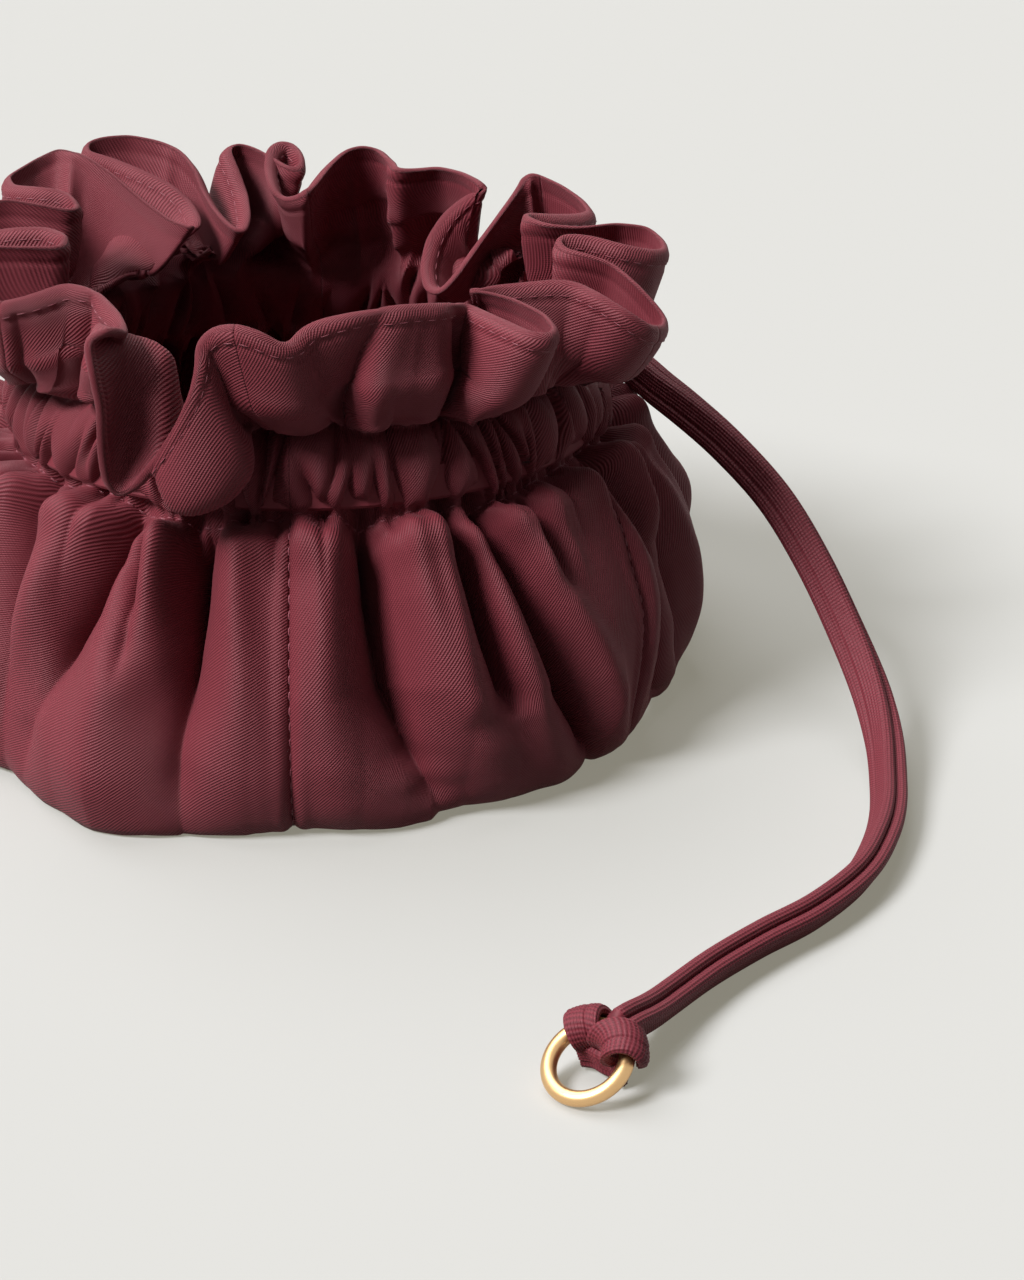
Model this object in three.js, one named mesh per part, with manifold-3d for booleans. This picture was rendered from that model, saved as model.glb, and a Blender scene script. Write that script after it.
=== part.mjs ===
// Drawstring pouch of twill cloth: six side panels gathered on a flat strap, with a ring on its end.
// Millimetres, +Z up. The origin is the middle of the underside of the base.
// Azimuth 0 is the front, -Y, and it grows towards +X.

import * as THREE from "three";
import { mergeVertices } from "three/addons/utils/BufferGeometryUtils.js";
import Module from "manifold-3d";

// Driving dimensions of the cloth bag
const PANEL_COUNT = 6;
const CLOTH = 1.2;
const BASE_RADIUS = 104;
const BELLY_RADIUS = 114;
const BELLY_HEIGHT = 17;
const BELLY_ROUND = 1;
const SHOULDER_RADIUS = 104;
const SHOULDER_HEIGHT = 55;
const LOWER_ROW_RADIUS = 87;
const LOWER_ROW_HEIGHT = 72;
const CHANNEL_RISE = 22;
const CHANNEL_LEAN = 6;
const FRILL_HEIGHT = 38;
const FRILL_FLARE = 18;
const FLARE_CURVE = 1.3;
const NECK_TILT = 5;
const PANEL_CROWN = 2.4;

// Rings of cloth up the frill, as shares of its height; the cloth turns in from the last but one
const FRILL_SHARES = [0.35, 0.7, 0.96, 1];

// Folds: how many to a panel, and how deep from the middle of the fold
const PLEATS = 3;
const PLEAT_DEPTH = 3.6;
const GATHERS = 8;
const GATHER_DEPTH = 0.8;
const FRILL_LOBES = 2;
const FRILL_DEPTH = 7;
const FRILL_RISE = 2.5;

// How fast pleats and tilt grow with the climb, and how much of crown and pleats is left at the stitches
const PLEAT_GROWTH = 1.5;
const TILT_GROWTH = 2;
const ROW_CROWN = 0.6;
const ROW_PLEAT = 0.4;

// Drawstring: a flat strap, doubled where it lies free
const STRAP_WIDTH = 10;
const STRAP_THICKNESS = 2.4;
const STRAP_CORNER = 0.7;
const STITCH_MARGIN = 2;
const TUNNEL_TAPER = 3;
const TUNNEL_CLEARANCE = 0.8;
const RUN_END_ROOM = 1.8;

// Exit of the strap: the seam it is in, counted from the front, and the cut through the outer ply
const EXIT_SEAM = 2;
const EXIT_WIDTH = 20;
const EXIT_HEIGHT = 14;
const EXIT_REACH = 20;

// Ring and hitch
const RING_HOLE = 16;
const RING_WIRE = 4;
const RING_PLACE = [77.4, -237.4];
const RING_HEADING = 46;
const RING_TILT = 32;
const RING_LIFT = 0.1;
const HITCH_LENGTH = 11;
const HITCH_FALL = 22;
const HITCH_TAIL = 6;
const WRAP_ARC = 56;
const WRAP_SPREAD = 62;

// Sizes in the hitch as shares of the strap's width or of the hitch's length
const WRAP_SHARE = 0.42;
const THROAT_SWELL = 0.45;
const THROAT_SWELL_PLIES = 3;
const THROAT_NECK = 0.8;
const BIGHT_WIDTH = 0.9;
const BIGHT_RISE = 0.55;
const BIGHT_OVERLAP = 0.1;

const GAP = 0.3;

// Route of the free strap from the channel's exit to the hitch
const STRAP_ROUTE = [
  [73.2, 43, 80.6],
  [79.6, 42, 80.6],
  [86, 39.4, 80.9],
  [92, 34.6, 81],
  [97.2, 26.2, 80.4],
  [103.3, 15.6, 78.6],
  [110.4, 6, 76],
  [122, -6, 69.4],
  [135.5, -19, 58.1],
  [146, -32, 44.3],
  [155.1, -47, 28.8],
  [161.4, -64, 17.2],
  [163.6, -80, 10.6],
  [163.2, -97, 6.8],
  [161.6, -112, 5.6],
  [158, -127, 5.4],
  [150.6, -146, 5.5],
  [136.5, -165.3, 5.6],
  [122.4, -178.6, 5.7],
  [108.9, -193.2, 6],
  [98.2, -208.2, 7],
];

// Facets
const PANEL_STEPS = 16;
const PROFILE_STEPS = 5;
const STRAP_STEPS = 56;
const RUN_STEPS = 48;
const RING_STEPS = 32;
const WIRE_SIDES = 12;
const WRAP_STEPS = 6;
const BIGHT_STEPS = 16;
const WELD = 1e-4;

const wasm = await Module();
wasm.setup();

const radians = THREE.MathUtils.degToRad;
const lerp = THREE.MathUtils.lerp;

// Materials
const clothMaterial = (color) => new THREE.MeshStandardMaterial({ color, roughness: 0.75, metalness: 0 });
const twillMaterial = clothMaterial(0x8b3344);
const baseMaterial = clothMaterial(0x7c2c3b);
const strapMaterial = clothMaterial(0x93394a);
const gildedMaterial = new THREE.MeshStandardMaterial({ color: 0xd8a860, roughness: 0.28, metalness: 1 });

// A closed geometry, moved by a matrix, as a solid for cutting and joining
function toSolid(geometry, matrix = new THREE.Matrix4()) {
  const bare = geometry.clone().applyMatrix4(matrix);
  bare.deleteAttribute("normal");
  bare.deleteAttribute("uv");
  const merged = mergeVertices(bare, WELD);
  return new wasm.Manifold(
    new wasm.Mesh({
      numProp: 3,
      vertProperties: new Float32Array(merged.attributes.position.array),
      triVerts: new Uint32Array(merged.index.array),
    }),
  );
}

function toGeometry(solid) {
  const mesh = solid.getMesh();
  const geometry = new THREE.BufferGeometry();
  geometry.setAttribute("position", new THREE.BufferAttribute(mesh.vertProperties, mesh.numProp));
  geometry.setIndex(new THREE.BufferAttribute(mesh.triVerts, 1));
  geometry.computeVertexNormals();
  return geometry;
}

function namedMesh(name, geometry, material) {
  const mesh = new THREE.Mesh(geometry, material);
  mesh.name = name;
  return mesh;
}

// Stations of the cloth from the base seam to the frill's edge. Each holds the radius and height of
// the middle of the cloth, half its thickness, and how much of each kind of fold it shows.
const tunnelHalf = STRAP_THICKNESS / 2 + GATHER_DEPTH + TUNNEL_CLEARANCE;
const channelWidth = Math.hypot(CHANNEL_RISE, CHANNEL_LEAN);
const tunnelTip = STITCH_MARGIN / channelWidth;
const tunnelShoulder = (STITCH_MARGIN + TUNNEL_TAPER) / channelWidth;
const bodyStations = makeBodyStations();
const LOWER_ROW = bodyStations.length;
const channelStations = makeChannelStations();
const UPPER_ROW = LOWER_ROW + channelStations.length - 1;
const stations = [...bodyStations, ...channelStations, ...makeFrillStations()];
const LAST = stations.length - 1;

function station(radius, height, half, folds = {}) {
  return { radius, height, half, crown: 0, pleat: 0, gather: 0, frill: 0, lift: 0, ...folds };
}

function makeBodyStations() {
  const profile = new THREE.SplineCurve([
    new THREE.Vector2(BASE_RADIUS, CLOTH / 2),
    new THREE.Vector2(BELLY_RADIUS - BELLY_ROUND, BELLY_HEIGHT / 3),
    new THREE.Vector2(BELLY_RADIUS, BELLY_HEIGHT),
    new THREE.Vector2(SHOULDER_RADIUS, SHOULDER_HEIGHT),
    new THREE.Vector2(LOWER_ROW_RADIUS, LOWER_ROW_HEIGHT),
  ]);
  const made = [station(BASE_RADIUS, CLOTH / 2, CLOTH / 2, { crown: 1 })];
  for (let i = 1; i < PROFILE_STEPS; i++) {
    const p = profile.getPointAt(i / PROFILE_STEPS);
    const climb = p.y / LOWER_ROW_HEIGHT;
    const folds = { crown: 1, pleat: climb ** PLEAT_GROWTH, lift: climb ** TILT_GROWTH };
    made.push(station(p.x, p.y, CLOTH / 2, folds));
  }
  return made;
}

// Across the channel, where the two plies part round the strap
function makeChannelStations() {
  const shares = [0, tunnelShoulder, 1 - tunnelShoulder, 1];
  const halves = [CLOTH, CLOTH + tunnelHalf, CLOTH + tunnelHalf, CLOTH];
  return shares.map((share, i) =>
    station(
      lerp(LOWER_ROW_RADIUS, LOWER_ROW_RADIUS - CHANNEL_LEAN, share),
      lerp(LOWER_ROW_HEIGHT, LOWER_ROW_HEIGHT + CHANNEL_RISE, share),
      halves[i],
      { crown: i === 0 ? ROW_CROWN : 0, pleat: i === 0 ? ROW_PLEAT : 0, gather: 1, lift: 1 },
    ),
  );
}

function makeFrillStations() {
  return FRILL_SHARES.map((share) =>
    station(
      LOWER_ROW_RADIUS - CHANNEL_LEAN + FRILL_FLARE * share ** FLARE_CURVE,
      LOWER_ROW_HEIGHT + CHANNEL_RISE + FRILL_HEIGHT * share,
      share < 1 ? CLOTH : CLOTH / 2,
      { frill: share, lift: 1 },
    ),
  );
}

// The station between two others, for a place along the cloth that isn't a whole number
function stationAt(place) {
  const low = Math.min(Math.floor(place), LAST - 1);
  const mixed = {};
  for (const key of Object.keys(stations[0])) {
    mixed[key] = lerp(stations[low][key], stations[low + 1][key], place - low);
  }
  return mixed;
}

// Middle of the cloth at an azimuth in degrees and a place along the stations
function clothPoint(azimuth, place) {
  const at = stationAt(place);
  const turn = radians(azimuth);
  const wave = (count) => Math.cos(turn * PANEL_COUNT * count);
  const radius =
    at.radius +
    at.crown * PANEL_CROWN * (1 - wave(1)) / 2 +
    at.pleat * PLEAT_DEPTH * wave(PLEATS) +
    at.gather * GATHER_DEPTH * wave(GATHERS) +
    at.frill * FRILL_DEPTH * wave(FRILL_LOBES);
  const rise = at.lift * NECK_TILT * Math.cos(turn) + at.frill * FRILL_RISE * wave(FRILL_LOBES);
  return new THREE.Vector3(radius * Math.sin(turn), -radius * Math.cos(turn), at.height + rise);
}

// Outward direction of the cloth there, within the upright plane of that azimuth
function clothNormal(azimuth, place) {
  if (place === 0) {
    return new THREE.Vector3(0, 0, -1);
  }
  const around = new THREE.Vector3(Math.cos(radians(azimuth)), Math.sin(radians(azimuth)), 0);
  const above = clothPoint(azimuth, Math.min(place + 0.5, LAST));
  const below = clothPoint(azimuth, Math.max(place - 0.5, 0));
  return around.cross(above.sub(below)).normalize();
}

// Closed outline of one panel's section at an azimuth: up the outside, and down the inside
function sectionOutline(azimuth) {
  const side = (sign) =>
    stations.map((at, place) =>
      clothPoint(azimuth, place).addScaledVector(clothNormal(azimuth, place), sign * at.half),
    );
  return [...side(1), ...side(-1).reverse()];
}

// Outline of the strap's tunnel in that section
function tunnelOutline(azimuth) {
  const corners = [
    [tunnelTip, 0],
    [tunnelShoulder, 1],
    [1 - tunnelShoulder, 1],
    [1 - tunnelTip, 0],
    [1 - tunnelShoulder, -1],
    [tunnelShoulder, -1],
  ];
  return corners.map(([share, sign]) => {
    const place = placeInChannel(share);
    return clothPoint(azimuth, place).addScaledVector(clothNormal(azimuth, place), sign * tunnelHalf);
  });
}

// Place along the stations of a share of the channel's width
function placeInChannel(share) {
  if (share < tunnelShoulder) {
    return LOWER_ROW + share / tunnelShoulder;
  }
  if (share > 1 - tunnelShoulder) {
    return UPPER_ROW - (1 - share) / tunnelShoulder;
  }
  return LOWER_ROW + 1 + (share - tunnelShoulder) / (1 - 2 * tunnelShoulder);
}

// Sweeps an outline with one hole round the bag, and closes both ends
function sweptPanel(firstAzimuth, lastAzimuth) {
  const rings = [];
  for (let i = 0; i <= PANEL_STEPS; i++) {
    const azimuth = lerp(firstAzimuth, lastAzimuth, i / PANEL_STEPS);
    rings.push({ outer: sectionOutline(azimuth), hole: tunnelOutline(azimuth), azimuth });
  }
  const outerCount = rings[0].outer.length;
  const ringCount = outerCount + rings[0].hole.length;
  const vertices = rings.flatMap(({ outer, hole }) => [...outer, ...hole]);
  const index = [];
  const skin = (start, count, flip) => {
    for (let i = 0; i < PANEL_STEPS; i++) {
      for (let j = 0; j < count; j++) {
        const a = i * ringCount + start + j;
        const b = i * ringCount + start + ((j + 1) % count);
        const c = b + ringCount;
        const d = a + ringCount;
        index.push(...(flip ? [a, b, c, a, c, d] : [a, c, b, a, d, c]));
      }
    }
  };
  skin(0, outerCount, false);
  skin(outerCount, ringCount - outerCount, true);
  const flat = ({ azimuth, outer, hole }) => {
    const turn = radians(azimuth);
    const to2d = (p) => new THREE.Vector2(p.x * Math.sin(turn) - p.y * Math.cos(turn), p.z);
    return [outer.map(to2d), hole.map(to2d)];
  };
  const ends = [
    [rings[0], 0, 1],
    [rings[PANEL_STEPS], PANEL_STEPS * ringCount, -1],
  ];
  for (const [ring, start, side] of ends) {
    const [outer, hole] = flat(ring);
    const corners = [...outer, ...hole];
    for (const [a, b, c] of THREE.ShapeUtils.triangulateShape(outer, [hole])) {
      const turned = THREE.ShapeUtils.area([corners[a], corners[b], corners[c]]) * side < 0;
      index.push(start + a, start + (turned ? c : b), start + (turned ? b : c));
    }
  }
  const geometry = new THREE.BufferGeometry().setFromPoints(vertices);
  geometry.setIndex(index);
  return geometry;
}

// Side panels. The seam by the exit stays open across the channel, and the strap comes out there.
const channelRadius = LOWER_ROW_RADIUS - CHANNEL_LEAN / 2;
const exitAzimuth = (360 / PANEL_COUNT) * EXIT_SEAM;

// Middle of the channel at an azimuth in degrees
function channelPoint(azimuth) {
  const turn = radians(azimuth);
  const height = LOWER_ROW_HEIGHT + CHANNEL_RISE / 2 + NECK_TILT * Math.cos(turn);
  return new THREE.Vector3(channelRadius * Math.sin(turn), -channelRadius * Math.cos(turn), height);
}

function exitCutter() {
  const box = new THREE.BoxGeometry(EXIT_REACH, EXIT_WIDTH, EXIT_HEIGHT).translate(EXIT_REACH / 2, 0, 0);
  const place = new THREE.Matrix4().makeRotationZ(radians(exitAzimuth) - Math.PI / 2);
  return toSolid(box, place.setPosition(channelPoint(exitAzimuth)));
}

function makeSidePanels() {
  const span = 360 / PANEL_COUNT;
  const seam = THREE.MathUtils.radToDeg(GAP / 2 / (LOWER_ROW_RADIUS - CHANNEL_LEAN - tunnelHalf));
  const cutter = exitCutter();
  return Array.from({ length: PANEL_COUNT }, (_, k) => {
    const first = k * span;
    const last = first + span;
    const whole = sweptPanel(first + seam, last - seam);
    const open = k === EXIT_SEAM - 1 || k === EXIT_SEAM;
    const geometry = open ? toGeometry(toSolid(whole).subtract(cutter)) : whole;
    geometry.computeVertexNormals();
    return namedMesh(`side_panel_${k + 1}`, geometry, twillMaterial);
  });
}

// Base: one flat piece inside the ring of panels
function makeBasePanel() {
  const count = PANEL_COUNT * PANEL_STEPS;
  const outline = Array.from({ length: count }, (_, i) => {
    const edge = clothPoint((360 * i) / count, 0);
    return new THREE.Vector2(edge.x, edge.y).setLength(Math.hypot(edge.x, edge.y) - GAP);
  });
  const geometry = new THREE.ExtrudeGeometry(new THREE.Shape(outline), { depth: CLOTH, bevelEnabled: false });
  return namedMesh("base_panel", geometry, baseMaterial);
}

// Corners of a rectangle round the middle, cut off by the strap's own corner
function cutRectangle(width, height) {
  const w = width / 2;
  const h = height / 2;
  const c = STRAP_CORNER;
  return [
    [w, -h + c],
    [w, h - c],
    [w - c, h],
    [-w + c, h],
    [-w, h - c],
    [-w, -h + c],
    [-w + c, -h],
    [w - c, -h],
  ];
}

// Section of the strap, moved across its thickness and turned by an angle
function strapSection(shift, turn) {
  const centre = new THREE.Vector2();
  const corners = cutRectangle(STRAP_WIDTH, STRAP_THICKNESS);
  return new THREE.Shape(corners.map(([x, y]) => new THREE.Vector2(x, y + shift).rotateAround(centre, turn)));
}

function strapAlong(path, steps, shift, turn) {
  const options = { steps, extrudePath: path, bevelEnabled: false };
  return new THREE.ExtrudeGeometry(strapSection(shift, turn), options);
}

// Stretch of strap inside the channel, all round from one side of the exit to the other
function makeDrawstringRun() {
  const room = THREE.MathUtils.radToDeg((STRAP_THICKNESS + GAP / 2 + RUN_END_ROOM) / channelRadius);
  const points = Array.from({ length: RUN_STEPS + 1 }, (_, i) =>
    channelPoint(exitAzimuth + lerp(room, 360 - room, i / RUN_STEPS)),
  );
  const path = new THREE.CatmullRomCurve3(points);
  const lean = -Math.atan2(CHANNEL_LEAN, CHANNEL_RISE);
  return namedMesh("drawstring_run", strapAlong(path, RUN_STEPS, 0, lean), strapMaterial);
}

// Ring frame: X towards the hitch, Z across the ring. Hitch frame: X along the strap, Z up.
const ringRadius = (RING_HOLE + RING_WIRE) / 2;
const headed = (pitch) =>
  new THREE.Vector3(
    Math.cos(radians(pitch)) * Math.cos(radians(RING_HEADING)),
    Math.cos(radians(pitch)) * Math.sin(radians(RING_HEADING)),
    Math.sin(radians(pitch)),
  );
const ringX = headed(RING_TILT);
const hitchX = headed(-HITCH_FALL);
const across = new THREE.Vector3(-Math.sin(radians(RING_HEADING)), Math.cos(radians(RING_HEADING)), 0);
const ringHeight = ringRadius * Math.sin(radians(RING_TILT)) + RING_WIRE / 2 + RING_LIFT;
const ringCentre = new THREE.Vector3(...RING_PLACE, ringHeight);
const hitchStart = ringCentre.clone().addScaledVector(ringX, ringRadius);
const hitchEnd = hitchStart.clone().addScaledVector(hitchX, HITCH_LENGTH);
const ringFrame = frameOf(ringX, ringCentre);
const hitchFrame = frameOf(hitchX, hitchStart);

function frameOf(x, origin) {
  const z = x.clone().cross(across);
  return new THREE.Matrix4().makeBasis(x, across, z).setPosition(origin);
}

// Free strands, side by side across their thickness
function makeStrands() {
  const points = STRAP_ROUTE.map((p) => new THREE.Vector3(...p));
  points.push(hitchEnd.clone().addScaledVector(hitchX, HITCH_TAIL));
  points.push(hitchEnd.clone().addScaledVector(hitchX, GAP));
  const path = new THREE.CatmullRomCurve3(points, false, "centripetal");
  return [-1, 1].map((side, i) => {
    const geometry = strapAlong(path, STRAP_STEPS, (side * (STRAP_THICKNESS + GAP)) / 2, 0);
    return namedMesh(`drawstring_strand_${i + 1}`, geometry, strapMaterial);
  });
}

function makeRing() {
  const geometry = new THREE.TorusGeometry(ringRadius, RING_WIRE / 2, WIRE_SIDES, RING_STEPS);
  const mesh = namedMesh("ring", geometry, gildedMaterial);
  mesh.applyMatrix4(ringFrame);
  return mesh;
}

// Closed solid through a list of convex rings of points
function lofted(rings) {
  const count = rings[0].length;
  const index = [];
  rings.slice(1).forEach((_, i) => {
    for (let j = 0; j < count; j++) {
      const a = i * count + j;
      const b = i * count + ((j + 1) % count);
      index.push(a, b, b + count, a, b + count, a + count);
    }
  });
  const end = (rings.length - 1) * count;
  for (let j = 1; j < count - 1; j++) {
    index.push(0, j + 1, j, end, end + j, end + j + 1);
  }
  const geometry = new THREE.BufferGeometry().setFromPoints(rings.flat());
  geometry.setIndex(index);
  return geometry;
}

// One wrap of the strap round the wire, on one side of the hitch's middle
function makeWrap(side) {
  const disc = new THREE.Shape().absarc(0, 0, RING_WIRE / 2 + GAP + STRAP_THICKNESS, 0, 2 * Math.PI);
  const points = Array.from({ length: WRAP_STEPS + 1 }, (_, i) => {
    const angle = radians((side * WRAP_SPREAD + lerp(-WRAP_ARC, WRAP_ARC, i / WRAP_STEPS)) / 2);
    return new THREE.Vector3(ringRadius * Math.cos(angle), ringRadius * Math.sin(angle), 0);
  });
  const options = { steps: WRAP_STEPS, extrudePath: new THREE.CatmullRomCurve3(points), bevelEnabled: false };
  options.curveSegments = WIRE_SIDES / 2;
  return toSolid(new THREE.ExtrudeGeometry(disc, options), ringFrame);
}

// Body of the hitch, which narrows from the wraps to the two strands
function makeThroat(spread) {
  const wide = 2 * (spread + WRAP_SHARE * STRAP_WIDTH);
  const pair = 2 * STRAP_THICKNESS + GAP;
  const sizes = [
    [0, wide, 2 * STRAP_THICKNESS],
    [THROAT_SWELL, wide, THROAT_SWELL_PLIES * STRAP_THICKNESS],
    [THROAT_NECK, 2 * spread, 2 * WRAP_SHARE * STRAP_WIDTH],
    [1, pair, STRAP_WIDTH],
  ];
  const rings = sizes.map(([share, width, height]) =>
    cutRectangle(width, height).map(([y, z]) => new THREE.Vector3(HITCH_LENGTH * share, y, z)),
  );
  return toSolid(lofted(rings), hitchFrame);
}

// Bight that crosses over both strands from one side of the hitch to the other
function makeBight(spread) {
  const rings = Array.from({ length: BIGHT_STEPS + 1 }, (_, i) => {
    const angle = Math.PI * lerp(-BIGHT_OVERLAP, 1 + BIGHT_OVERLAP, i / BIGHT_STEPS);
    const face = new THREE.Vector3(0, Math.cos(angle), Math.sin(angle));
    const reach = new THREE.Vector3(0, spread + STRAP_THICKNESS, STRAP_WIDTH * BIGHT_RISE);
    const place = reach.multiply(face).setX(HITCH_LENGTH / 2);
    return cutRectangle(STRAP_WIDTH * BIGHT_WIDTH, STRAP_THICKNESS).map(([x, y]) =>
      place.clone().addScaledVector(face, y).add(new THREE.Vector3(x, 0, 0)),
    );
  });
  return toSolid(lofted(rings), hitchFrame);
}

// Cow hitch: two wraps round the wire, the body behind them and the bight over the strands
function makeHitch() {
  const spread = ringRadius * Math.sin(radians(WRAP_SPREAD / 2));
  const room = new THREE.TorusGeometry(ringRadius, RING_WIRE / 2 + GAP, WIRE_SIDES, RING_STEPS);
  const body = makeThroat(spread).add(makeBight(spread)).add(makeWrap(-1)).add(makeWrap(1));
  const geometry = toGeometry(body.subtract(toSolid(room, ringFrame)));
  return namedMesh("drawstring_hitch", geometry, strapMaterial);
}

const pouch = new THREE.Group();
pouch.add(...makeSidePanels(), makeBasePanel());
pouch.add(makeDrawstringRun(), ...makeStrands(), makeHitch(), makeRing());

export default pouch;
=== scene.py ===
"""Drawstring pouch: the looks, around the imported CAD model. Lengths in metres, angles in degrees.

Azimuth 0 is the front (-Y) and 90 the right side (+X). The cloth is one shell of six panels, each a grid
of columns (round the pouch) and rows (up the body, the channel and the frill).
"""
import math

import bpy
import numpy as np
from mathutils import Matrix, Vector


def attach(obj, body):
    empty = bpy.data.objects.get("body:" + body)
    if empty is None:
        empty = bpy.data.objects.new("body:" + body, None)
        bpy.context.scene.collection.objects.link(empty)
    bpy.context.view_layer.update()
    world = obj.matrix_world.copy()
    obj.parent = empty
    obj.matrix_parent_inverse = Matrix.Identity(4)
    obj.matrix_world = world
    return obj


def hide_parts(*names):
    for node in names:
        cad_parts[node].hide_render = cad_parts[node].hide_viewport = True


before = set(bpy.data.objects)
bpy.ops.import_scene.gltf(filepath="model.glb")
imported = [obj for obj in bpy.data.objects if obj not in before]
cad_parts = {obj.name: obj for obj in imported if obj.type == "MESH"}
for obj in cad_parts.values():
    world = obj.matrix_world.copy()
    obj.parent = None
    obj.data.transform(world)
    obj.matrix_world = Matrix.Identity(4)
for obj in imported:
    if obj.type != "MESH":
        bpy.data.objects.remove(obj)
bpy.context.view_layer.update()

# Camera, from the photograph
CAMERA_PLACE = (0.0594, -0.896, 0.440)
CAMERA_DOWN = 26
CAMERA_LENS = 92.6
# The photograph's size and focal length, in its own pixels
PHOTO_WIDTH = 1024
PHOTO_HEIGHT = 1280
PHOTO_FOCUS = 3292

# Body: radius and height up one side, the same all round
BODY_OUTLINE = [
    (0.103, 0.001), (0.1105, 0.0012), (0.1143, 0.005), (0.1158, 0.011), (0.116, 0.019),
    (0.1146, 0.029), (0.1118, 0.04), (0.1076, 0.051), (0.102, 0.062), (0.0958, 0.07),
    (0.0905, 0.0742), (0.0872, 0.0772),
]
# How far along the outline its slope is measured each way
OUTLINE_REACH = 0.002
PANEL_COUNT = 6
PANEL_TURN = 360 / PANEL_COUNT
NECK_TILT = 0.0045
LOWER_ROW_RADIUS = 0.0868
LOWER_ROW_HEIGHT = 0.0772
UPPER_ROW_RADIUS = 0.0815
UPPER_ROW_HEIGHT = 0.099
CHANNEL_PUFF = 0.003
PLY = 0.0012
DOUBLE_PLY = 0.0022
ROW_GROOVE = 0.0011
FLOOR_GAP = 0.0004
# Seams: depth and half width of the groove, then height, place and half width of the ridges beside it
SEAM_DEPTH = 0.0011
SEAM_HALF = 0.0009
SEAM_RIDGE = 0.0005
SEAM_RIDGE_PLACE = 0.003
SEAM_RIDGE_HALF = 0.0016
# Puff of cloth beside a stitch row: size, distance from the row, and spread
BODY_PUFF = (0.0042, 0.0085, 0.0062)
FRILL_PUFF = (0.0018, 0.0055, 0.0040)
FRILL_SWELL = 0.0058
# The hem's roll and the dip at its stitches: size, distance from the edge, and spread
HEM_ROLL = (0.00022, 0.0016, 0.0011)
HEM_DIP = (0.00038, 0.0040, 0.0006)
# Radius by which an azimuth on the body is turned into a distance
BODY_MIDDLE = 0.108

# Folds of the body: height, azimuth and depth along each, then half width
FOLDS = [
    ([(0.002, -14.5, 0.003), (0.02, -15.0, 0.007), (0.045, -15.0, 0.013), (0.062, -15.3, 0.0165),
      (0.077, -15.6, 0.012)], 0.0072),
    ([(0.036, -23.3, 0.0), (0.05, -23.5, 0.004), (0.064, -24.0, 0.0085), (0.077, -24.2, 0.006)], 0.0034),
    ([(0.002, -40.0, 0.0), (0.02, -38.5, 0.004), (0.045, -34.5, 0.01), (0.066, -30.5, 0.0115),
      (0.077, -29.5, 0.006)], 0.008),
    ([(0.002, -45.0, 0.002), (0.042, -47.7, 0.007), (0.07, -51.0, 0.0105), (0.077, -51.5, 0.007)], 0.0078),
    ([(0.002, 20.5, 0.003), (0.012, 18.6, 0.007), (0.022, 16.4, 0.011), (0.038, 13.6, 0.0145),
      (0.06, 12.8, 0.0165), (0.077, 12.8, 0.013)], 0.0078),
    ([(0.026, 31.6, 0.0), (0.034, 30.9, 0.007), (0.05, 29.8, 0.0105), (0.066, 29.0, 0.011),
      (0.077, 28.2, 0.008)], 0.0044),
    ([(0.002, 49.5, 0.003), (0.012, 46.6, 0.0075), (0.029, 42.0, 0.0115), (0.046, 38.8, 0.0125),
      (0.062, 36.3, 0.0125), (0.077, 33.8, 0.01)], 0.0054),
    ([(0.05, 45.5, 0.0), (0.062, 45.0, 0.004), (0.077, 44.0, 0.0055)], 0.0034),
    ([(0.002, 70.5, 0.004), (0.03, 70.0, 0.0095), (0.05, 69.0, 0.012), (0.066, 65.5, 0.011),
      (0.077, 62.5, 0.008)], 0.0056),
    ([(0.002, 79.0, 0.002), (0.022, 78.6, 0.007), (0.042, 76.5, 0.0105), (0.06, 75.8, 0.0115),
      (0.077, 75.0, 0.008)], 0.005),
    ([(0.002, 97.0, 0.003), (0.03, 95.0, 0.009), (0.055, 92.0, 0.013), (0.077, 90.5, 0.01)], 0.0064),
]
FOLD_DEPTH = 1.5
SEED = 11
# How far the belly stands out beyond the outline: azimuth and amount, at the height of the floor
BULGES = [
    (-60, 0.003), (-48, 0.0048), (-40, 0.0055), (-32, 0.008), (-26, 0.0112), (-15, 0.0115), (-10, 0.0075),
    (-5, 0.003), (0, 0.001), (9, 0.002), (14, 0.0045), (19, 0.006), (25, 0.0015), (32, 0.0005), (45, 0.0015),
    (52, 0.002), (61, -0.003), (75, -0.0015), (88, -0.004), (110, 0.0), (130, 0.0035), (160, 0.0),
    (190, 0.004), (225, 0.0), (255, 0.004), (280, 0.001),
]
# How far the cloth is turned round the pouch at the floor: azimuth and degrees
DRIFT = [(30, 0.0), (46, -2.0), (60, -6.0), (74, -3.0), (88, 0.0), (270, 0.0)]

# Gathers of the channel and just under it
GATHER_SPACING = 0.0064
GATHER_DEPTH = 0.0064
ROW_FOLD = 0.3
# Puckers where the body meets the row: azimuth, depth, and how far each runs down
PUCKERS = [
    (-60, 0.004, 0.012), (-52, 0.0045, 0.014), (-44.5, 0.004, 0.012), (-38, 0.005, 0.015),
    (-28, 0.004, 0.011),
    (-18.2, 0.005, 0.012), (-13.4, 0.004, 0.009), (-8.0, 0.0022, 0.006), (-2.2, 0.0045, 0.012),
    (5.2, 0.006, 0.012), (12.6, 0.005, 0.012), (18.4, 0.004, 0.009), (22.6, 0.002, 0.005),
    (27.3, 0.005, 0.015), (34.7, 0.005, 0.012), (40.8, 0.0045, 0.014), (47, 0.0025, 0.008),
    (52, 0.004, 0.012), (60, 0.0045, 0.013), (66, 0.004, 0.012), (73, 0.0045, 0.014), (81, 0.004, 0.012),
    (87, 0.0045, 0.014), (94, 0.004, 0.012), (101, 0.004, 0.012),
]
PUCKER_DEPTH = 1.15
ROW_WAVE = 0.0012

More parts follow.
